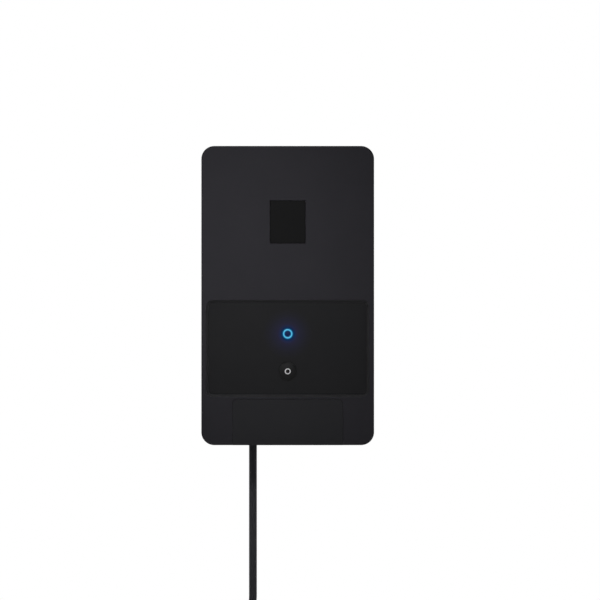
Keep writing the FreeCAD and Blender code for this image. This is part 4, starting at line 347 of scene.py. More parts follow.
# %% Helpers for new pieces
SOFT_EDGE = 0.3
SHARP_ANGLE = math.radians(35)
FLAT_ANGLE = math.radians(0.5)
WELD = 1e-6
CAD_WELD = 2e-6
SEAM_SHARE = 0.1


def show(name, work):
    """Puts a finished bmesh in the scene as a smooth-shaded piece."""
    bmesh.ops.remove_doubles(work, verts=work.verts, dist=WELD)
    bmesh.ops.recalc_face_normals(work, faces=work.faces)
    mesh = bpy.data.meshes.new(name)
    work.to_mesh(mesh)
    work.free()
    mesh.polygons.foreach_set("use_smooth", [True] * len(mesh.polygons))
    piece = bpy.data.objects.new(name, mesh)
    bpy.context.scene.collection.objects.link(piece)
    return piece


def soften(piece, width=SOFT_EDGE, segments=2):
    """Rounds every edge that turns by more than the angle, and keeps the large faces looking flat."""
    bevel = piece.modifiers.new("soft_edges", "BEVEL")
    bevel.width = width * MM
    bevel.segments = segments
    bevel.limit_method = "ANGLE"
    bevel.angle_limit = SHARP_ANGLE
    bevel.use_clamp_overlap = False
    evened = piece.modifiers.new("flat_faces", "WEIGHTED_NORMAL")
    evened.mode = "FACE_AREA"
    return piece


def softened_copy(name, node, width=SOFT_EDGE, seam=None):
    """Copy of a CAD node with its triangles merged into whole faces and its sharp edges rounded.

    The seam tests a point in millimetres: edges that it holds for get a tenth of the round, because two
    parts that meet in a flush seam are sharp there, and a wide round would draw it as a broad dark line.
    """
    work = bmesh.new()
    work.from_mesh(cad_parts[node].data)
    before = len(work.faces)
    bmesh.ops.remove_doubles(work, verts=work.verts, dist=CAD_WELD)
    bmesh.ops.dissolve_limit(
        work, angle_limit=FLAT_ANGLE, use_dissolve_boundaries=False, verts=work.verts, edges=work.edges
    )
    print(f"{name}: {before} triangles merged into {len(work.faces)} faces")
    weight = work.edges.layers.float.new("bevel_weight_edge")
    for edge in work.edges:
        if len(edge.link_faces) == 2 and edge.calc_face_angle() > SHARP_ANGLE:
            middle = (edge.verts[0].co + edge.verts[1].co) / 2 / MM
            edge[weight] = SEAM_SHARE if seam and seam(middle) else 1.0
    piece = soften(show(name, work), width)
    piece.modifiers["soft_edges"].limit_method = "WEIGHT"
    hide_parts(node)
    return piece


# %% Shell
AROUND_COVER = 1.0
EDGE_DEPTH = 0.5
SEAM_DEPTH = 4.0


def corners(node):
    """Lower and upper corner of a CAD piece's box, in millimetres."""
    return [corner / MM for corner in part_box(node)]


def beside_cover(point):
    """Whether a point lies along the seam round the cover, at the front."""
    inside = abs(point.x) < cover_corner.x + AROUND_COVER and point.z < cover_corner.z + AROUND_COVER
    return inside and point.y < FRONT + SEAM_DEPTH


def in_a_seam(point):
    """Whether a point of the shell lies beside the cover, or at the depth where panel and plate sit."""
    return beside_cover(point) or FRONT + EDGE_DEPTH < point.y < FRONT + SEAM_DEPTH


cover_corner = corners("terminal_cover")[1]
shell = softened_copy("shell", "front_housing", seam=in_a_seam)
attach(shell, "housing")

# %% [markdown]
# ## Plain pieces from scratch
# The panel, the square plate, the lamp, the button, the sleeve and the plug are simple forms, so they are
# drawn here from a few corners. Three ways cover them all: a rounded block for what is flat, an outline
# spun about a line for what is round, and a cutting tool for the holes.

# %% Blocks, turned forms and cuts
CORNER_STEPS = 10


def rounded_face(work, width, height, radius):
    """Flat face with round corners in the plane z = 0: a grid of one face with bevelled corners."""
    made = bmesh.ops.create_grid(work, x_segments=1, y_segments=1, size=0.5)
    bmesh.ops.scale(work, vec=(width * MM, height * MM, 1), verts=made["verts"])
    bmesh.ops.bevel(
        work, geom=made["verts"], offset=radius * MM, offset_type="OFFSET", segments=CORNER_STEPS,
        profile=0.5, affect="VERTICES", material=-1,
    )
    return work.faces[:]


def rounded_block(width, height, radius, y_from, y_to, x=0.0, z=0.0):
    """Block with round corners as seen from the front, between two depths."""
    work = bmesh.new()
    face = rounded_face(work, width, height, radius)
    grown = bmesh.ops.extrude_face_region(work, geom=face)
    raised = [item for item in grown["geom"] if isinstance(item, bmesh.types.BMVert)]
    bmesh.ops.translate(work, vec=(0, 0, (y_to - y_from) * MM), verts=raised)
    bmesh.ops.rotate(work, cent=(0, 0, 0), matrix=Matrix.Rotation(-math.pi / 2, 3, "X"), verts=work.verts)
    bmesh.ops.translate(work, vec=(x * MM, y_from * MM, z * MM), verts=work.verts)
    return work


def turned(profile, middle, axis=(0, 1, 0), closed=False, steps=96):
    """Outline of (radius, place along the axis) points, spun once round a line through the middle."""
    work = bmesh.new()
    along = Vector(axis)
    points = [work.verts.new((Vector((radius, 0, 0)) + along * place) * MM) for radius, place in profile]
    pairs = list(zip(points, points[1:] + points[:1])) if closed else list(zip(points, points[1:]))
    edges = [work.edges.new(pair) for pair in pairs]
    bmesh.ops.spin(
        work, geom=points + edges, cent=(0, 0, 0), axis=axis, dvec=(0, 0, 0), angle=2 * math.pi,
        steps=steps, use_merge=True, use_duplicate=False,
    )
    bmesh.ops.translate(work, vec=Vector(middle) * MM, verts=work.verts)
    return work


def cut(piece, tools):
    """Takes the tools out of a piece, and removes the tools."""
    for tool in tools:
        step = piece.modifiers.new("cut", "BOOLEAN")
        step.operation = "DIFFERENCE"
        step.solver = "EXACT"
        step.object = tool
    drawn = piece.evaluated_get(bpy.context.evaluated_depsgraph_get())
    piece.data = bpy.data.meshes.new_from_object(drawn)
    piece.modifiers.clear()
    for tool in tools:
        bpy.data.objects.remove(tool)
    return piece


# %% [markdown]
# ## The control panel
# A thin flat sheet snapped into the bottom of the recess, with one round hole for the lamp and one for
# the button. It fills its seat to a twentieth of a millimetre, because the real one shows hardly any seam.
# Its edges could be left sharp, but a fine round lets the holes' rims show as on the real one.

# %% Panel
SEAT_FILL = 0.1
PANEL_RADIUS = 3.5
LAMP_HOLE = 8.4
BUTTON_HOLE = 14.4
CUT_PAST = 5.0
PANEL_EDGE = 0.06

low, high = corners("control_fascia")
PANEL_FACE, PANEL_BACK = low.y, high.y
PANEL_MIDDLE = (low.z + high.z) / 2
PANEL_SIZE = (high.x - low.x + SEAT_FILL, high.z - low.z + SEAT_FILL)
LAMP_HEIGHT = sum(corner.z for corner in corners("light_ring")) / 2
BUTTON_HEIGHT = sum(corner.z for corner in corners("button_cap")) / 2


def hole_tool(diameter, height):
    """Round tool that passes through the panel."""
    front, back, radius = PANEL_FACE - CUT_PAST, PANEL_BACK + CUT_PAST, diameter / 2
    outline = [(0, front), (radius, front), (radius, back), (0, back)]
    return show("hole_tool", turned(outline, (0, 0, height)))


panel = show("panel", rounded_block(*PANEL_SIZE, PANEL_RADIUS, PANEL_FACE, PANEL_BACK, z=PANEL_MIDDLE))
cut(panel, [hole_tool(LAMP_HOLE, LAMP_HEIGHT), hole_tool(BUTTON_HOLE, BUTTON_HEIGHT)])
soften(panel, PANEL_EDGE)
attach(panel, "housing")
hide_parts("control_fascia")
print(f"panel {PANEL_SIZE[0]:.1f} x {PANEL_SIZE[1]:.1f} mm, lamp at {LAMP_HEIGHT:.1f} mm")

# %% [markdown]
# ## The square plate
# A small plain plate with square corners, let into a pocket of the upper face. A pocket alone would look
# the same from the front. The plate's own rim, rounded in three steps, tells the eye that it is a piece.

# %% Plate
PLATE_CORNER = 0.5

low, high = corners("badge_plate")
size = high - low
plate = show("plate", rounded_block(size.x, size.z, PLATE_CORNER, low.y, high.y, z=(low.z + high.z) / 2))
soften(plate, segments=3)
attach(plate, "housing")
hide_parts("badge_plate")
print(f"plate {size.x:.1f} x {size.z:.1f} mm")

# %% [markdown]
# ## The lamp
# A clear tube carries the light of four small diodes from the board to the front, and a dark plug fills
# its bore, so that only a ring is lit. Both are turned parts. The tube's front is slightly rounded, which
# makes the ring look soft at its rim.

# %% Lamp ring
RING_RADII = (2.4, 4.1)
BORE_DROP = 0.05
SHOULDER_IN = 0.25
SHOULDER_DROP = 0.08
RIM_DROP = 0.3
COLLAR_FRONT = -72.4
COLLAR_BACK = -71.2
FINE_EDGE = 0.08

low, high = corners("light_ring")
ring_face, ring_back = low.y, high.y
collar_radius = (high.z - low.z) / 2
ring_in, ring_out = RING_RADII
ring_profile = [
    (ring_in, ring_face + BORE_DROP), ((ring_in + ring_out) / 2, ring_face),
    (ring_out - SHOULDER_IN, ring_face + SHOULDER_DROP), (ring_out, ring_face + RIM_DROP),
    (ring_out, COLLAR_FRONT), (collar_radius, COLLAR_FRONT), (collar_radius, COLLAR_BACK),
    (ring_out, COLLAR_BACK), (ring_out, ring_back), (ring_in, ring_back),
]
lamp_ring = show("lamp_ring", turned(ring_profile, (0, 0, LAMP_HEIGHT), closed=True))
soften(lamp_ring, FINE_EDGE)
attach(lamp_ring, "housing")
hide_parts("light_ring")
print(f"lamp ring from {ring_face:.2f} to {ring_back:.2f} mm")

# %% Core of the ring
CORE_PLAY = 0.05
CORE_DROP = 0.1

core_radius = ring_in - CORE_PLAY
core_face = ring_face + CORE_DROP
core_back = corners("light_ring_core")[1].y
core_profile = [
    (0, core_face), (core_radius - RIM_DROP, core_face), (core_radius, ring_face + RIM_DROP),
    (core_radius, core_back), (0, core_back),
]
lamp_core = show("lamp_core", turned(core_profile, (0, 0, LAMP_HEIGHT), steps=64))
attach(lamp_core, "housing")
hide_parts("light_ring_core")
print(f"core of radius {core_radius:.2f} mm")

# %% [markdown]
# ## The push button
# A domed cap on a stem, with a pale ring moulded into it. Both follow the same dome, so one formula gives
# the height of the dome at any radius, and the cap's outline dips where the ring sits.

# %% Button cap
CAP_RADIUS = 7.0
CAP_CROWN = 1.1
MARK_RADII = (1.6, 2.35)
MARK_SEAT_DEPTH = 0.5
MARK_PLAY = 0.05
FLANGE_THICKNESS = 1.2
STEM_RADIUS = 2.0
CAP_EDGE = 0.15
DOME_RADIUS = (CAP_RADIUS ** 2 + CAP_CROWN ** 2) / (2 * CAP_CROWN)

cap_low, cap_high = corners("button_cap")
boot_front, boot_back = (corner.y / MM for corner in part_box("button_boot"))


def dome(radius):
    """Depth of the dome's face at a distance from its middle."""
    return cap_low.y + DOME_RADIUS - math.sqrt(DOME_RADIUS ** 2 - radius ** 2)


def along_dome(start, end, count):
    """Points on the dome between two radii."""
    radii = [start + (end - start) * step / count for step in range(count + 1)]
    return [(radius, dome(radius)) for radius in radii]


seat_in, seat_out = MARK_RADII[0] - MARK_PLAY, MARK_RADII[1] + MARK_PLAY
cap_profile = along_dome(0, seat_in, count=3)
cap_profile += [(radius, dome(radius) + MARK_SEAT_DEPTH) for radius in (seat_in, seat_out)]
cap_profile += along_dome(seat_out, CAP_RADIUS, count=10)
flange_radius = (cap_high.z - cap_low.z) / 2
flange_front = boot_front - FLANGE_THICKNESS
cap_profile += [(CAP_RADIUS, flange_front), (flange_radius, flange_front), (flange_radius, boot_front)]
cap_profile += [(STEM_RADIUS, boot_front), (STEM_RADIUS, cap_high.y), (0, cap_high.y)]
button = show("button", turned(cap_profile, (0, 0, BUTTON_HEIGHT)))
soften(button, CAP_EDGE, segments=3)
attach(button, "button")
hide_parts("button_cap")
print(f"dome radius {DOME_RADIUS:.1f} mm, flange radius {flange_radius:.1f} mm")

# %% Pale ring in the button
MARK_THICKNESS = 0.45

mark_face = along_dome(*MARK_RADII, count=4)
mark_back = [(radius, depth + MARK_THICKNESS) for radius, depth in (mark_face[-1], mark_face[0])]
mark = show("pale_ring", turned(mark_face + mark_back, (0, 0, BUTTON_HEIGHT), closed=True, steps=64))
soften(mark, FINE_EDGE)
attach(mark, "button")
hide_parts("button_mark")
print("pale ring", MARK_RADII)

# %% [markdown]
# ## The rubber boot
# Behind the panel a thin rubber cone joins the button's flange to the shell's rim, and keeps rain out. When
# the button goes in, the real cone crumples, which a rigid piece can't do. So it is a copy with a mesh of
# its own, and the depth that it would keep when pressed follows from the button's travel.

# %% Boot
BUTTON_TRAVEL = 1.0
BOOT_EDGE = 0.1

boot = softened_copy("rubber_boot", "button_boot", BOOT_EDGE)
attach(boot, "housing")
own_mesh(boot)
pressed = boot_back - boot_front - BUTTON_TRAVEL
print(f"boot {pressed + BUTTON_TRAVEL:.2f} mm deep, {pressed:.2f} mm when pressed")

# %% [markdown]
# ## The cover of the cable bay
# The cover is a moulding with rails and slots, so it is another softened copy. Its side seams hardly show
# on the real object, while a running gap of a quarter of a millimetre draws a clear dark line. So the two
# flanks of its front plate are stretched outwards, from where the round corners begin, until only a fine
# line is left.

# %% Cover
BAY_MOUTH_HALF = 44.45
SIDE_SEAM = 0.05
COVER_RADIUS = 3.6
COVER_PLATE_BACK = -75.5

cover = softened_copy("bay_cover", "terminal_cover", seam=beside_cover)
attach(cover, "cover")
corner_start = cover_corner.x - COVER_RADIUS
stretch = (BAY_MOUTH_HALF - SIDE_SEAM - corner_start) / COVER_RADIUS
work = bmesh.new()
work.from_mesh(cover.data)
for way in (-1, 1):
    flank = [
        corner for corner in work.verts
        if way * corner.co.x > corner_start * MM and corner.co.y < COVER_PLATE_BACK * MM
    ]
    about = Matrix.Translation((-way * corner_start * MM, 0, 0))
    bmesh.ops.scale(work, vec=(stretch, 1, 1), verts=flank, space=about)
work.to_mesh(cover.data)
work.free()
print(f"cover's front plate {2 * (BAY_MOUTH_HALF - SIDE_SEAM):.1f} mm wide")

# %% [markdown]
# ## Back tray, strap and sleeve
# The tray with its keyholes and the strap that holds the coil are softened copies too. The sleeve that
# keeps the lead from bending sharply is plain enough to be turned: a rubber taper with four grooves that
# let it flex.

# %% Back tray and strap
back_tray = softened_copy("back_tray", "rear_housing")
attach(back_tray, "housing")
tie = softened_copy("strap", "coil_tie")
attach(tie, "housing")

# %% Sleeve
TAPER_LENGTH = 20.0
TAPER_RADII = (3.8, 5.5)
SLEEVE_GROOVES = 4
GROOVE_HALF = 0.7
GROOVE_RADIUS = 3.6
NECK_LENGTH = 2.2
NECK_RADIUS = 4.8
HEAD_RADIUS = 6.2
SLEEVE_EDGE = 0.25

sleeve_low, sleeve_high = (corner.z for corner in corners("strain_relief"))
taper_top = sleeve_low + TAPER_LENGTH
neck_top = taper_top + NECK_LENGTH


def sleeve_radius(height):
    """Radius of the taper at a height."""
    share = (height - sleeve_low) / TAPER_LENGTH
    return TAPER_RADII[0] + (TAPER_RADII[1] - TAPER_RADII[0]) * share


sleeve_profile = [(0, sleeve_low), (TAPER_RADII[0], sleeve_low)]
for groove in range(SLEEVE_GROOVES):
    middle = sleeve_low + TAPER_LENGTH * (groove + 1) / (SLEEVE_GROOVES + 1)
    below, above = middle - GROOVE_HALF, middle + GROOVE_HALF
    sleeve_profile += [(sleeve_radius(below), below), (GROOVE_RADIUS, below)]
    sleeve_profile += [(GROOVE_RADIUS, above), (sleeve_radius(above), above)]
sleeve_profile += [(TAPER_RADII[1], taper_top), (NECK_RADIUS, taper_top), (NECK_RADIUS, neck_top)]
sleeve_profile += [(HEAD_RADIUS, neck_top), (HEAD_RADIUS, sleeve_high), (0, sleeve_high)]
sleeve = show("sleeve", turned(sleeve_profile, (LEAD_EXIT.x, LEAD_EXIT.y, 0), axis=(0, 0, 1), steps=64))
soften(sleeve, SLEEVE_EDGE)
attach(sleeve, "housing")
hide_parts("strain_relief")
print(f"sleeve from {sleeve_low:.1f} up to {sleeve_high:.1f} mm")

# %% [markdown]
# ## The plug
# A moulded rubber plug: a waisted grip that fills out towards the pins, a shoulder, and a ribbed sleeve
# round the lead. One rounded face is pulled up in short steps, and each step is scaled by a smooth curve,
# which gives the waist. The sleeve with the gaps between its ribs is then turned on the same line.

# %% Plug's grip and shoulder
PLUG_WIDTH = 28.0
PLUG_THICKNESS = 25.0
PLUG_CORNER = 6.0
PLUG_GRIP = 24.0
PLUG_SHOULDER = 9.0
PLUG_SLEEVE = 22.0
PLUG_WAIST = 0.9
PLUG_NECK = 0.46
GRIP_STEPS = 12
SHOULDER_STEPS = 8


def grip_scale(share):
    """Size of the grip against its base, waisted in the middle."""
    return 1 - (1 - PLUG_WAIST) * math.sin(math.pi * share) ** 2


def shoulder_scale(share):
    """Size of the shoulder against the base, drawn in smoothly to the neck."""
    return 1 - (1 - PLUG_NECK) * (0.5 - 0.5 * math.cos(math.pi * share))


def grow(work, faces, rise, scale, middle):
    """Pulls the top face up and scales the new one about the plug's line."""
    grown = bmesh.ops.extrude_face_region(work, geom=faces)
    top = [item for item in grown["geom"] if isinstance(item, bmesh.types.BMVert)]
    bmesh.ops.translate(work, vec=(0, 0, rise * MM), verts=top)
    bmesh.ops.scale(work, vec=(scale, scale, 1), verts=top, space=Matrix.Translation(-middle))
    bmesh.ops.delete(work, geom=faces, context="FACES_ONLY")
    return [item for item in grown["geom"] if isinstance(item, bmesh.types.BMFace)]


plug_base = plug_top.z - PLUG_SLEEVE - PLUG_SHOULDER - PLUG_GRIP
plug_line = Vector((plug_top.x, plug_top.y, 0)) * MM
work = bmesh.new()
top_face = rounded_face(work, PLUG_WIDTH, PLUG_THICKNESS, PLUG_CORNER)
bmesh.ops.translate(work, vec=plug_line + Vector((0, 0, plug_base * MM)), verts=work.verts)
# The first face is pulled up, and a copy of it stays behind as the plug's lower end.
bmesh.ops.duplicate(work, geom=top_face)
steps = [grip_scale(count / GRIP_STEPS) for count in range(GRIP_STEPS + 1)]
steps += [shoulder_scale((count + 1) / SHOULDER_STEPS) for count in range(SHOULDER_STEPS)]
rises = [PLUG_GRIP / GRIP_STEPS] * GRIP_STEPS + [PLUG_SHOULDER / SHOULDER_STEPS] * SHOULDER_STEPS
for rise, before, after in zip(rises, steps, steps[1:]):
    top_face = grow(work, top_face, rise, after / before, plug_line)
plug = show("plug", work)
print(f"plug from {plug_top.z:.1f} down to {plug_base:.1f} mm")

# %% Plug's ribbed sleeve
TAIL_RADIUS = 4.2
TAIL_FLARE = 2.3
GAPS = 4
GAP_START = 3.2
GAP_PITCH = 4.4
GAP_HEIGHT = 1.6
GAP_RADIUS = 3.9
GAP_FLARE = 0.2
FOOT_RADIUS = 6.5
FOOT_DEPTH = 1.0
PLUG_EDGE = 0.5

rib_profile = [(0, plug_top.z), (TAIL_RADIUS, plug_top.z)]
for gap in range(GAPS):
    high = plug_top.z - GAP_START - GAP_PITCH * gap
    low = high - GAP_HEIGHT
    outer = TAIL_RADIUS + TAIL_FLARE * (plug_top.z - high) / PLUG_SLEEVE
    rib_profile += [(outer, high), (GAP_RADIUS, high), (GAP_RADIUS, low), (outer + GAP_FLARE, low)]
foot = plug_top.z - PLUG_SLEEVE
rib_profile += [(FOOT_RADIUS, foot), (FOOT_RADIUS, foot - FOOT_DEPTH), (0, foot - FOOT_DEPTH)]
ribs = show("plug_ribs", turned(rib_profile, (plug_top.x, plug_top.y, 0), axis=(0, 0, 1), steps=48))
for piece, edge in ((plug, PLUG_EDGE), (ribs, SOFT_EDGE)):
    soften(piece, edge, segments=3)
    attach(piece, "housing")
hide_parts("mains_plug")
print(f"ribs on {PLUG_SLEEVE:.0f} mm of the lead")

# %% The lead's facts
print(f"lead {LEAD_DIAMETER} mm thick carries the plug, its pins and the strap")

# %% [markdown]
# ## Surfaces
# Every real surface varies a little: in colour over a few centimetres, in gloss and relief over fractions
# of a millimetre. One function builds that from two noises in real sizes, and each material then starts
# from what the real one is. Grain finer than about half a millimetre can't show in this picture, so it is
# drawn coarser, and shallow enough to stay a texture.

# %% A surface with grain
# The Mix node for colours takes its share and its two colours by these numbers, and gives the mixed
# colour by the last.
MIX_SHARE, MIX_FROM, MIX_TO = 0, 6, 7
MIX_RESULT = 2


def surface(name, colour, deep, roughness, grain, relief, spread=0.05, patch=28.0, **shader):
    """Material of two near colours in soft patches, with a grain in gloss and relief, in millimetres."""
    material = bpy.data.materials.new(name)
    material.use_nodes = True
    tree = material.node_tree
    tree.nodes.clear()
    place = add_node(tree, "ShaderNodeTexCoord").outputs["Object"]
    patches = add_node(
        tree, "ShaderNodeTexNoise", {"Vector": place, "Scale": 1 / (patch * MM), "Detail": 2.0}
    )
    grains = add_node(
        tree, "ShaderNodeTexNoise", {"Vector": place, "Scale": 1 / (grain * MM), "Detail": 3.0}
    )
    tone = add_node(
        tree, "ShaderNodeMix",
        {MIX_SHARE: patches.outputs["Fac"], MIX_FROM: linear(deep), MIX_TO: linear(colour)},
        data_type="RGBA",
    )
    gloss = add_node(
        tree, "ShaderNodeMapRange",
        {"Value": grains.outputs["Fac"], "To Min": roughness - spread, "To Max": roughness + spread},
    )
    bump = add_node(tree, "ShaderNodeBump", {"Height": grains.outputs["Fac"], "Distance": relief * MM})
    body = add_node(tree, "ShaderNodeBsdfPrincipled", {"Base Color": tone.outputs[MIX_RESULT]})
    tree.links.new(gloss.outputs["Result"], body.inputs["Roughness"])
    tree.links.new(bump.outputs["Normal"], body.inputs["Normal"])
    for socket, value in shader.items():
        body.inputs[socket.replace("_", " ")].default_value = value
    add_node(tree, "ShaderNodeOutputMaterial", {"Surface": body.outputs[0]})
    print(f"{name}: {colour} and {deep}")
    return material


def dress(piece, material):
    """Gives a piece one material all over."""
    if not piece.material_slots:
        piece.data.materials.append(material)
    for place in piece.material_slots:
        place.material = material


def part_of(material, kind):
    """A node of a material by its kind."""
    return next(node for node in material.node_tree.nodes if node.bl_idname == kind)


# %% [markdown]
# ## Plastics of the front
# Shell, cover, panel, plate and button all look black at first, and the eye tells them apart by how grey
# and how smooth each is. So each gets two close colours, a grain and a gloss of its own. One black for
# all of them would be shorter, but it would hide where one piece ends and the next begins.

# %% Dark outdoor plastics
# Weatherproof ASA from a spark-eroded mould: a dry, even satin, slightly violet.
housing_plastic = surface(
    "moulded_asa_housing", "302F34", "2C2B30", roughness=0.62, grain=0.9, relief=0.02,
    Specular_IOR_Level=0.125,
)
# The cover is moulded of the same plastic in a neutral black, a touch darker.
cover_plastic = surface(
    "moulded_asa_cover", "2E2E31", "2B2B2E", roughness=0.62, grain=0.9, relief=0.02,
    Specular_IOR_Level=0.125,
)
# The square plate is smoother, so it mirrors the dim room more evenly and looks deepest.
plate_plastic = surface(
    "polished_abs_plate", "131314", "111112", roughness=0.45, grain=0.6, relief=0.004,
    Specular_IOR_Level=0.08,
)
# The button is silky from a blasted mould, so that its dome shows a broad soft light.
button_plastic = surface(
    "blasted_abs_button", "212122", "1E1E1F", roughness=0.55, grain=0.7, relief=0.008,
    Specular_IOR_Level=0.15,
)
# The inlay is nearly white plastic, dull so that it reads as a printed ring.
inlay_plastic = surface("pale_abs_inlay", "F0F0F2", "E8E8EA", roughness=0.5, grain=0.6, relief=0.006)

# %% [markdown]
# ## The walls of the recess
# The steep walls of the recess look greyer than the face in the light. That light is painted: they could
# get a material of their own, face by face, but it is simpler to let the shell's base colour turn a
# lighter grey inside a box that holds the recess behind the front face.

# %% Walls of the recess, with painted light
RECESS_HALF_WIDTH = 65.8
RECESS_HALF_HEIGHT = 39.4
LIT_WALLS_FROM = FRONT + 0.15

place = part_of(housing_plastic, "ShaderNodeTexCoord").outputs["Object"]
body = part_of(housing_plastic, "ShaderNodeBsdfPrincipled")
tone = part_of(housing_plastic, "ShaderNodeMix").outputs[MIX_RESULT]
tree = housing_plastic.node_tree
spot = add_node(tree, "ShaderNodeSeparateXYZ", {0: place})
box_of_lit_walls = {
    "X": (0, RECESS_HALF_WIDTH),
    "Z": (PANEL_MIDDLE, RECESS_HALF_HEIGHT),
    "Y": ((LIT_WALLS_FROM + PANEL_BACK) / 2, (PANEL_BACK - LIT_WALLS_FROM) / 2),
}
inside = 1.0
for axis, (middle, half) in box_of_lit_walls.items():
    near = add_node(
        tree, "ShaderNodeMath", {0: spot.outputs[axis], 1: middle * MM, 2: half * MM}, operation="COMPARE"
    )
    both = add_node(tree, "ShaderNodeMath", {0: inside, 1: near.outputs[0]}, operation="MULTIPLY")
    inside = both.outputs[0]
# Painted light: inside the box the shell's base colour turns a lighter grey, which stands in for the light
# on the recess walls.
walls = add_node(
    tree, "ShaderNodeMix", {MIX_SHARE: inside, MIX_FROM: tone, MIX_TO: linear("38383A")}, data_type="RGBA"
)
tree.links.new(walls.outputs[MIX_RESULT], body.inputs["Base Color"])
print(f"recess walls {2 * RECESS_HALF_WIDTH:.1f} x {2 * RECESS_HALF_HEIGHT:.1f} mm")

# %% [markdown]
# ## The lit panel and lamp
# The lamp's light spreads a little into the dark panel round it: a deep blue rim close to the ring, and a
# faint haze that is gone after two centimetres. The ring itself is brightest along its middle, where the
# diodes stand behind it. Real light paths in so dark a plastic would need far more samples, so each of the
# three pieces glows by itself, through a few colours laid out by the distance from the lamp.

# %% A glow by distance
LAMP_MIDDLE = (0, PANEL_FACE * MM, LAMP_HEIGHT * MM)


def lamp_glow(material, stops):
    """Makes a material glow through (millimetres, colour) stops, by the distance from the lamp."""
    tree = material.node_tree
    body = part_of(material, "ShaderNodeBsdfPrincipled")
    place = part_of(material, "ShaderNodeTexCoord").outputs["Object"]
    offset = add_node(tree, "ShaderNodeVectorMath", {0: place, 1: LAMP_MIDDLE}, operation="SUBTRACT")
    away = add_node(tree, "ShaderNodeVectorMath", {0: offset.outputs[0]}, operation="LENGTH")
    reach = stops[-1][0]
    share = add_node(tree, "ShaderNodeMapRange", {"Value": away.outputs["Value"], "From Max": reach * MM})
    ramp = add_node(tree, "ShaderNodeValToRGB", {"Fac": share.outputs["Result"]})
    marks = ramp.color_ramp.elements
    marks[0].position = stops[0][0] / reach
    marks[0].color = linear(stops[0][1])
    marks[1].color = linear(stops[-1][1])
    for distance, colour in stops[1:-1]:
        marks.new(distance / reach).color = linear(colour)
    tree.links.new(ramp.outputs["Color"], body.inputs["Emission Color"])
    body.inputs["Emission Strength"].default_value = 1.0
    return away.outputs["Value"]


# %% Panel surface with the lamp's haze
HAZE_STOPS = [
    (4.2, "003A5E"), (5.2, "001F44"), (6.2, "04123A"), (8.0, "0C0826"), (11.0, "04061C"), (15.0, "02020E"),
    (20.0, "000000"),
]
DARK_RIM = (5.2, 6.4)

# Injection-moulded ABS with a fine satin texture, a shade deeper than the shell.
panel_plastic = surface(
    "satin_abs_panel", "232325", "202022", roughness=0.6, grain=0.8, relief=0.01, Specular_IOR_Level=0.125
)
from_lamp = lamp_glow(panel_plastic, HAZE_STOPS)
# Close to the ring the panel's base colour darkens to a deep navy, which keeps the lit ring crisp.
body = part_of(panel_plastic, "ShaderNodeBsdfPrincipled")
tone = part_of(panel_plastic, "ShaderNodeMix").outputs[MIX_RESULT]
tree = panel_plastic.node_tree
rim = add_node(
    tree, "ShaderNodeMapRange",
    {"Value": from_lamp, "From Min": DARK_RIM[0] * MM, "From Max": DARK_RIM[1] * MM},
)
navy_near_ring = add_node(
    tree, "ShaderNodeMix",
    {MIX_SHARE: rim.outputs["Result"], MIX_FROM: linear("05080E"), MIX_TO: tone}, data_type="RGBA",
)
tree.links.new(navy_near_ring.outputs[MIX_RESULT], body.inputs["Base Color"])
print("haze stops", len(HAZE_STOPS))

# %% Lamp light
RING_STOPS = [(2.4, "085080"), (2.9, "3296C2"), (3.25, "6CD2F2"), (3.6, "3296C2"), (4.1, "085080")]
CORE_STOPS = [(0.0, "0A1A40"), (1.6, "0A1C46"), (2.4, "0B3560")]

# Clear polycarbonate with the diodes behind it, which looks dark where it isn't lit.
light_guide = surface(
    "lit_polycarbonate_guide", "0D2C3C", "0B2736", roughness=0.35, grain=0.5, relief=0.004,
    Specular_IOR_Level=0.3,
)
lamp_glow(light_guide, RING_STOPS)
# The plug in the ring's bore is dark plastic that catches blue from the ring round it.
core_plastic = surface(
    "dark_abs_core", "05070B", "040609", roughness=0.6, grain=0.5, relief=0.004, Specular_IOR_Level=0.15
)
lamp_glow(core_plastic, CORE_STOPS)
print("ring stops", len(RING_STOPS))

# %% [markdown]
# ## Rubber, webbing and wires
# What bends is rubber, woven nylon or soft PVC. Rubber scatters light in a dull sheen, which a rough
# surface with a shallow relief gives without a shader of its own. The wires are glossy and coloured.

# %% Rubber and cable
# Extruded PVC-rubber blend of the lead: smooth along its length, with a dull sheen down its middle.
lead_rubber = surface(
    "extruded_rubber_lead", "3F3F43", "3B3B3F", roughness=0.6, grain=0.7, relief=0.012,
    Specular_IOR_Level=0.2,
)
# Moulded EPDM of seals, pads and the grommet: dead matt and a little dusty.
seal_rubber = surface(
    "moulded_epdm_seal", "1E1E1E", "191919", roughness=0.78, grain=0.8, relief=0.03, spread=0.08
)
# The strap is woven nylon, whose ribs show as fine lines.
strap_nylon = surface(
    "woven_nylon_strap", "262628", "1B1B1D", roughness=0.7, grain=0.5, relief=0.06, spread=0.1
)
# Wire insulation is glossy extruded PVC in the colours that electricians read.
brown_pvc = surface("extruded_pvc_brown", "6B3A1E", "5F3219", roughness=0.32, grain=0.6, relief=0.006)
red_pvc = surface("extruded_pvc_red", "A3231C", "951E18", roughness=0.32, grain=0.6, relief=0.006)

# %% [markdown]
# ## Metals
# Screws, blades, clamps and the cooling plate differ by the tint of what they mirror and by how cloudy
# it is. A photograph of each metal could be wrapped round them, but a varied gloss, in patches as large
# as those of the plating or tarnish, gives the same from any side.

# %% Metals
# Zinc-plated steel: bright but cloudy, with a faint cool patchiness from the plating bath.
zinc_steel = surface(
    "zinc_plated_steel", "C3C6CA", "A9ADB3", roughness=0.34, grain=0.7, relief=0.006,
    spread=0.12, patch=3.0, Metallic=1.0,
)
# Nickel-plated sheet: smoother, and warmer than zinc.
nickel_plate = surface(
    "nickel_plated_sheet", "C9C6BE", "BDB9B0", roughness=0.22, grain=0.6, relief=0.003,
    spread=0.06, patch=8.0, Metallic=1.0,
)
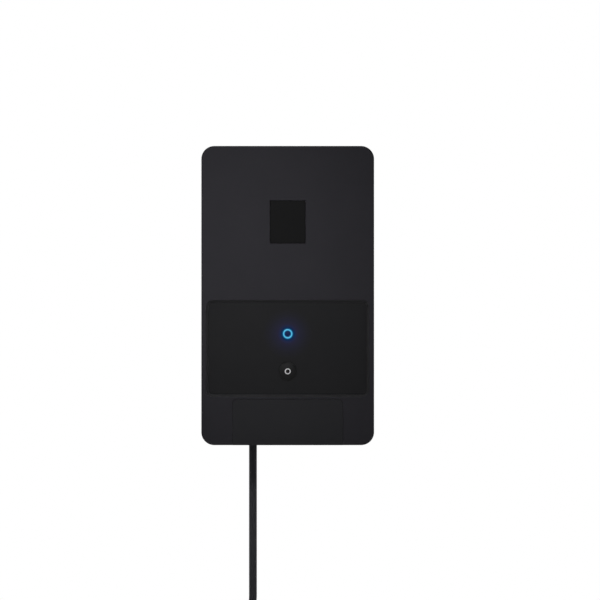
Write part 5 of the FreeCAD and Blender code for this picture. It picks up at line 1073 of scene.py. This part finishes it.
# Turned and pressed brass, a little tarnished in patches.
bare_brass = surface(
    "turned_brass", "C9A35A", "A9823F", roughness=0.3, grain=0.5, relief=0.005,
    spread=0.1, patch=4.0, Metallic=1.0,
)
# Extruded aluminium with a clear anodised skin: pale and satin.
anodised = surface(
    "anodised_aluminium", "C2C4C6", "B4B6B9", roughness=0.4, grain=0.5, relief=0.005,
    spread=0.08, patch=10.0, Metallic=1.0,
)

# %% [markdown]
# ## Parts inside the box
# Board, relay, fuse, terminals and winding hardly show from outside. Their solids come from the frame as
# they are, so a surface that is true to the real material is all that they need.

# %% Parts inside the box
# Glass-fibre board under green solder mask: glossy, and a little uneven from the weave under it.
solder_mask = surface(
    "solder_mask_board", "1E5A36", "184B2D", roughness=0.3, grain=0.6, relief=0.01, patch=4.0
)
# Epoxy-moulded parts: black, matt and slightly grainy.
black_epoxy = surface("moulded_epoxy_black", "1C1C1D", "171718", roughness=0.55, grain=0.5, relief=0.01)
# Nylon of connectors and lamps: warm white and faintly milky.
white_nylon = surface(
    "moulded_nylon_white", "DDD9CE", "D1CCC0", roughness=0.42, grain=0.6, relief=0.006,
    Subsurface_Weight=0.05,
)
# Glass-filled nylon of the terminal strip: black, with a dry and grainy skin.
filled_nylon = surface("glass_filled_nylon", "2A2A2C", "212123", roughness=0.62, grain=0.6, relief=0.02)
# The relay's case is smooth blue polyester.
blue_polyester = surface(
    "moulded_polyester_blue", "2750A0", "224692", roughness=0.35, grain=0.6, relief=0.004
)
# Shrunk sleeve round the capacitors: shiny and tight.
shrunk_sleeve = surface("shrunk_pvc_sleeve", "1E2A4A", "19233F", roughness=0.22, grain=0.8, relief=0.004)
# Amber polyester tape wound over the copper, in overlapping turns.
winding_tape = surface(
    "wound_polyester_tape", "B98A1E", "A0741A", roughness=0.3, grain=0.8, relief=0.01,
    patch=6.0, Coat_Weight=0.4,
)
# The fuse is a glass tube: clear, with a cool edge.
fuse_glass = surface(
    "drawn_glass_tube", "E8EEEA", "E0E8E4", roughness=0.06, grain=2.0, relief=0.0,
    spread=0.02, Transmission_Weight=0.9,
)

# %% [markdown]
# ## Relief of tape and webbing
# The winding is wrapped in tape that overlaps turn by turn, and the strap's webbing has fine ribs. Each
# could be modelled, at the cost of thousands of faces. A wave in the relief, as long as the real spacing,
# draws the same lines.

# %% Tape turns and strap ribs
TAPE_TURN = 6.0
STRAP_RIB = 1.2
# At a scale of 1 the wave texture repeats after this length.
WAVE_PERIOD = math.pi / 10


def add_bands(material, spacing, depth, axis, profile="SIN"):
    """Adds parallel bands to a surface's relief, with their spacing and depth in millimetres."""
    tree = material.node_tree
    bump = part_of(material, "ShaderNodeBump")
    place = part_of(material, "ShaderNodeTexCoord").outputs["Object"]
    bands = add_node(
        tree, "ShaderNodeTexWave",
        {"Vector": place, "Scale": WAVE_PERIOD / (spacing * MM), "Distortion": 0.4},
        wave_type="BANDS", bands_direction=axis, wave_profile=profile,
    )
    relief = add_node(
        tree, "ShaderNodeBump",
        {"Height": bands.outputs["Fac"], "Distance": depth * MM, "Normal": bump.outputs["Normal"]},
    )
    tree.links.new(relief.outputs["Normal"], part_of(material, "ShaderNodeBsdfPrincipled").inputs["Normal"])


add_bands(strap_nylon, STRAP_RIB, depth=0.1, axis="Z")
add_bands(winding_tape, TAPE_TURN, depth=0.15, axis="DIAGONAL", profile="SAW")
print("tape turns every", TAPE_TURN, "mm")

# %% [markdown]
# ## Dressing the pieces
# One table names every piece once, under its material, whether this script made it or the frame holds
# it. Each material could be put on where its piece is made, but a table is easier to check: what it
# prints as bare would be a piece that it forgets.

# %% Every piece gets its surface
SURFACES = {
    housing_plastic: [shell, back_tray],
    cover_plastic: [cover],
    panel_plastic: [panel],
    plate_plastic: [plate],
    button_plastic: [button],
    inlay_plastic: [mark],
    light_guide: [lamp_ring],
    core_plastic: [lamp_core],
    lead_rubber: [lead, sleeve, plug, ribs, "inner_cord"],
    strap_nylon: [tie],
    seal_rubber: [boot, "housing_seal", "transformer_pad_rear", "transformer_pad_front", "bay_grommet"],
    zinc_steel: ["housing_screws", "board_screws", "transformer_bolt", "clamp_screws", "terminal_screws"],
    nickel_plate: ["transformer_dish", "plug_pins", "module_shield"],
    bare_brass: ["transformer_insert", "terminal_clamps", "fuse_clips"],
    anodised: ["heat_sink"],
    winding_tape: ["transformer_winding"],
    solder_mask: ["control_board", "wireless_module"],
    black_epoxy: ["switch_body", "switch_plunger", "thermal_cutout", "cord_clamp", "driver_transistors"],
    white_nylon: ["status_leds", "mains_connector", "board_connector"],
    filled_nylon: ["terminal_block"],
    blue_polyester: ["power_relay"],
    shrunk_sleeve: ["filter_capacitors"],
    fuse_glass: ["fuse"],
    brown_pvc: ["mains_wires", "primary_wires"],
    red_pvc: ["secondary_wires", "output_wires"],
}
dressed = set()
for material, wearers in SURFACES.items():
    for wearer in wearers:
        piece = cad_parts[wearer] if isinstance(wearer, str) else wearer
        dress(piece, material)
        dressed.add(piece.name)
bare = [name for name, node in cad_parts.items() if name not in dressed and not node.hide_render]
print(f"{len(dressed)} pieces dressed, bare: {bare}")
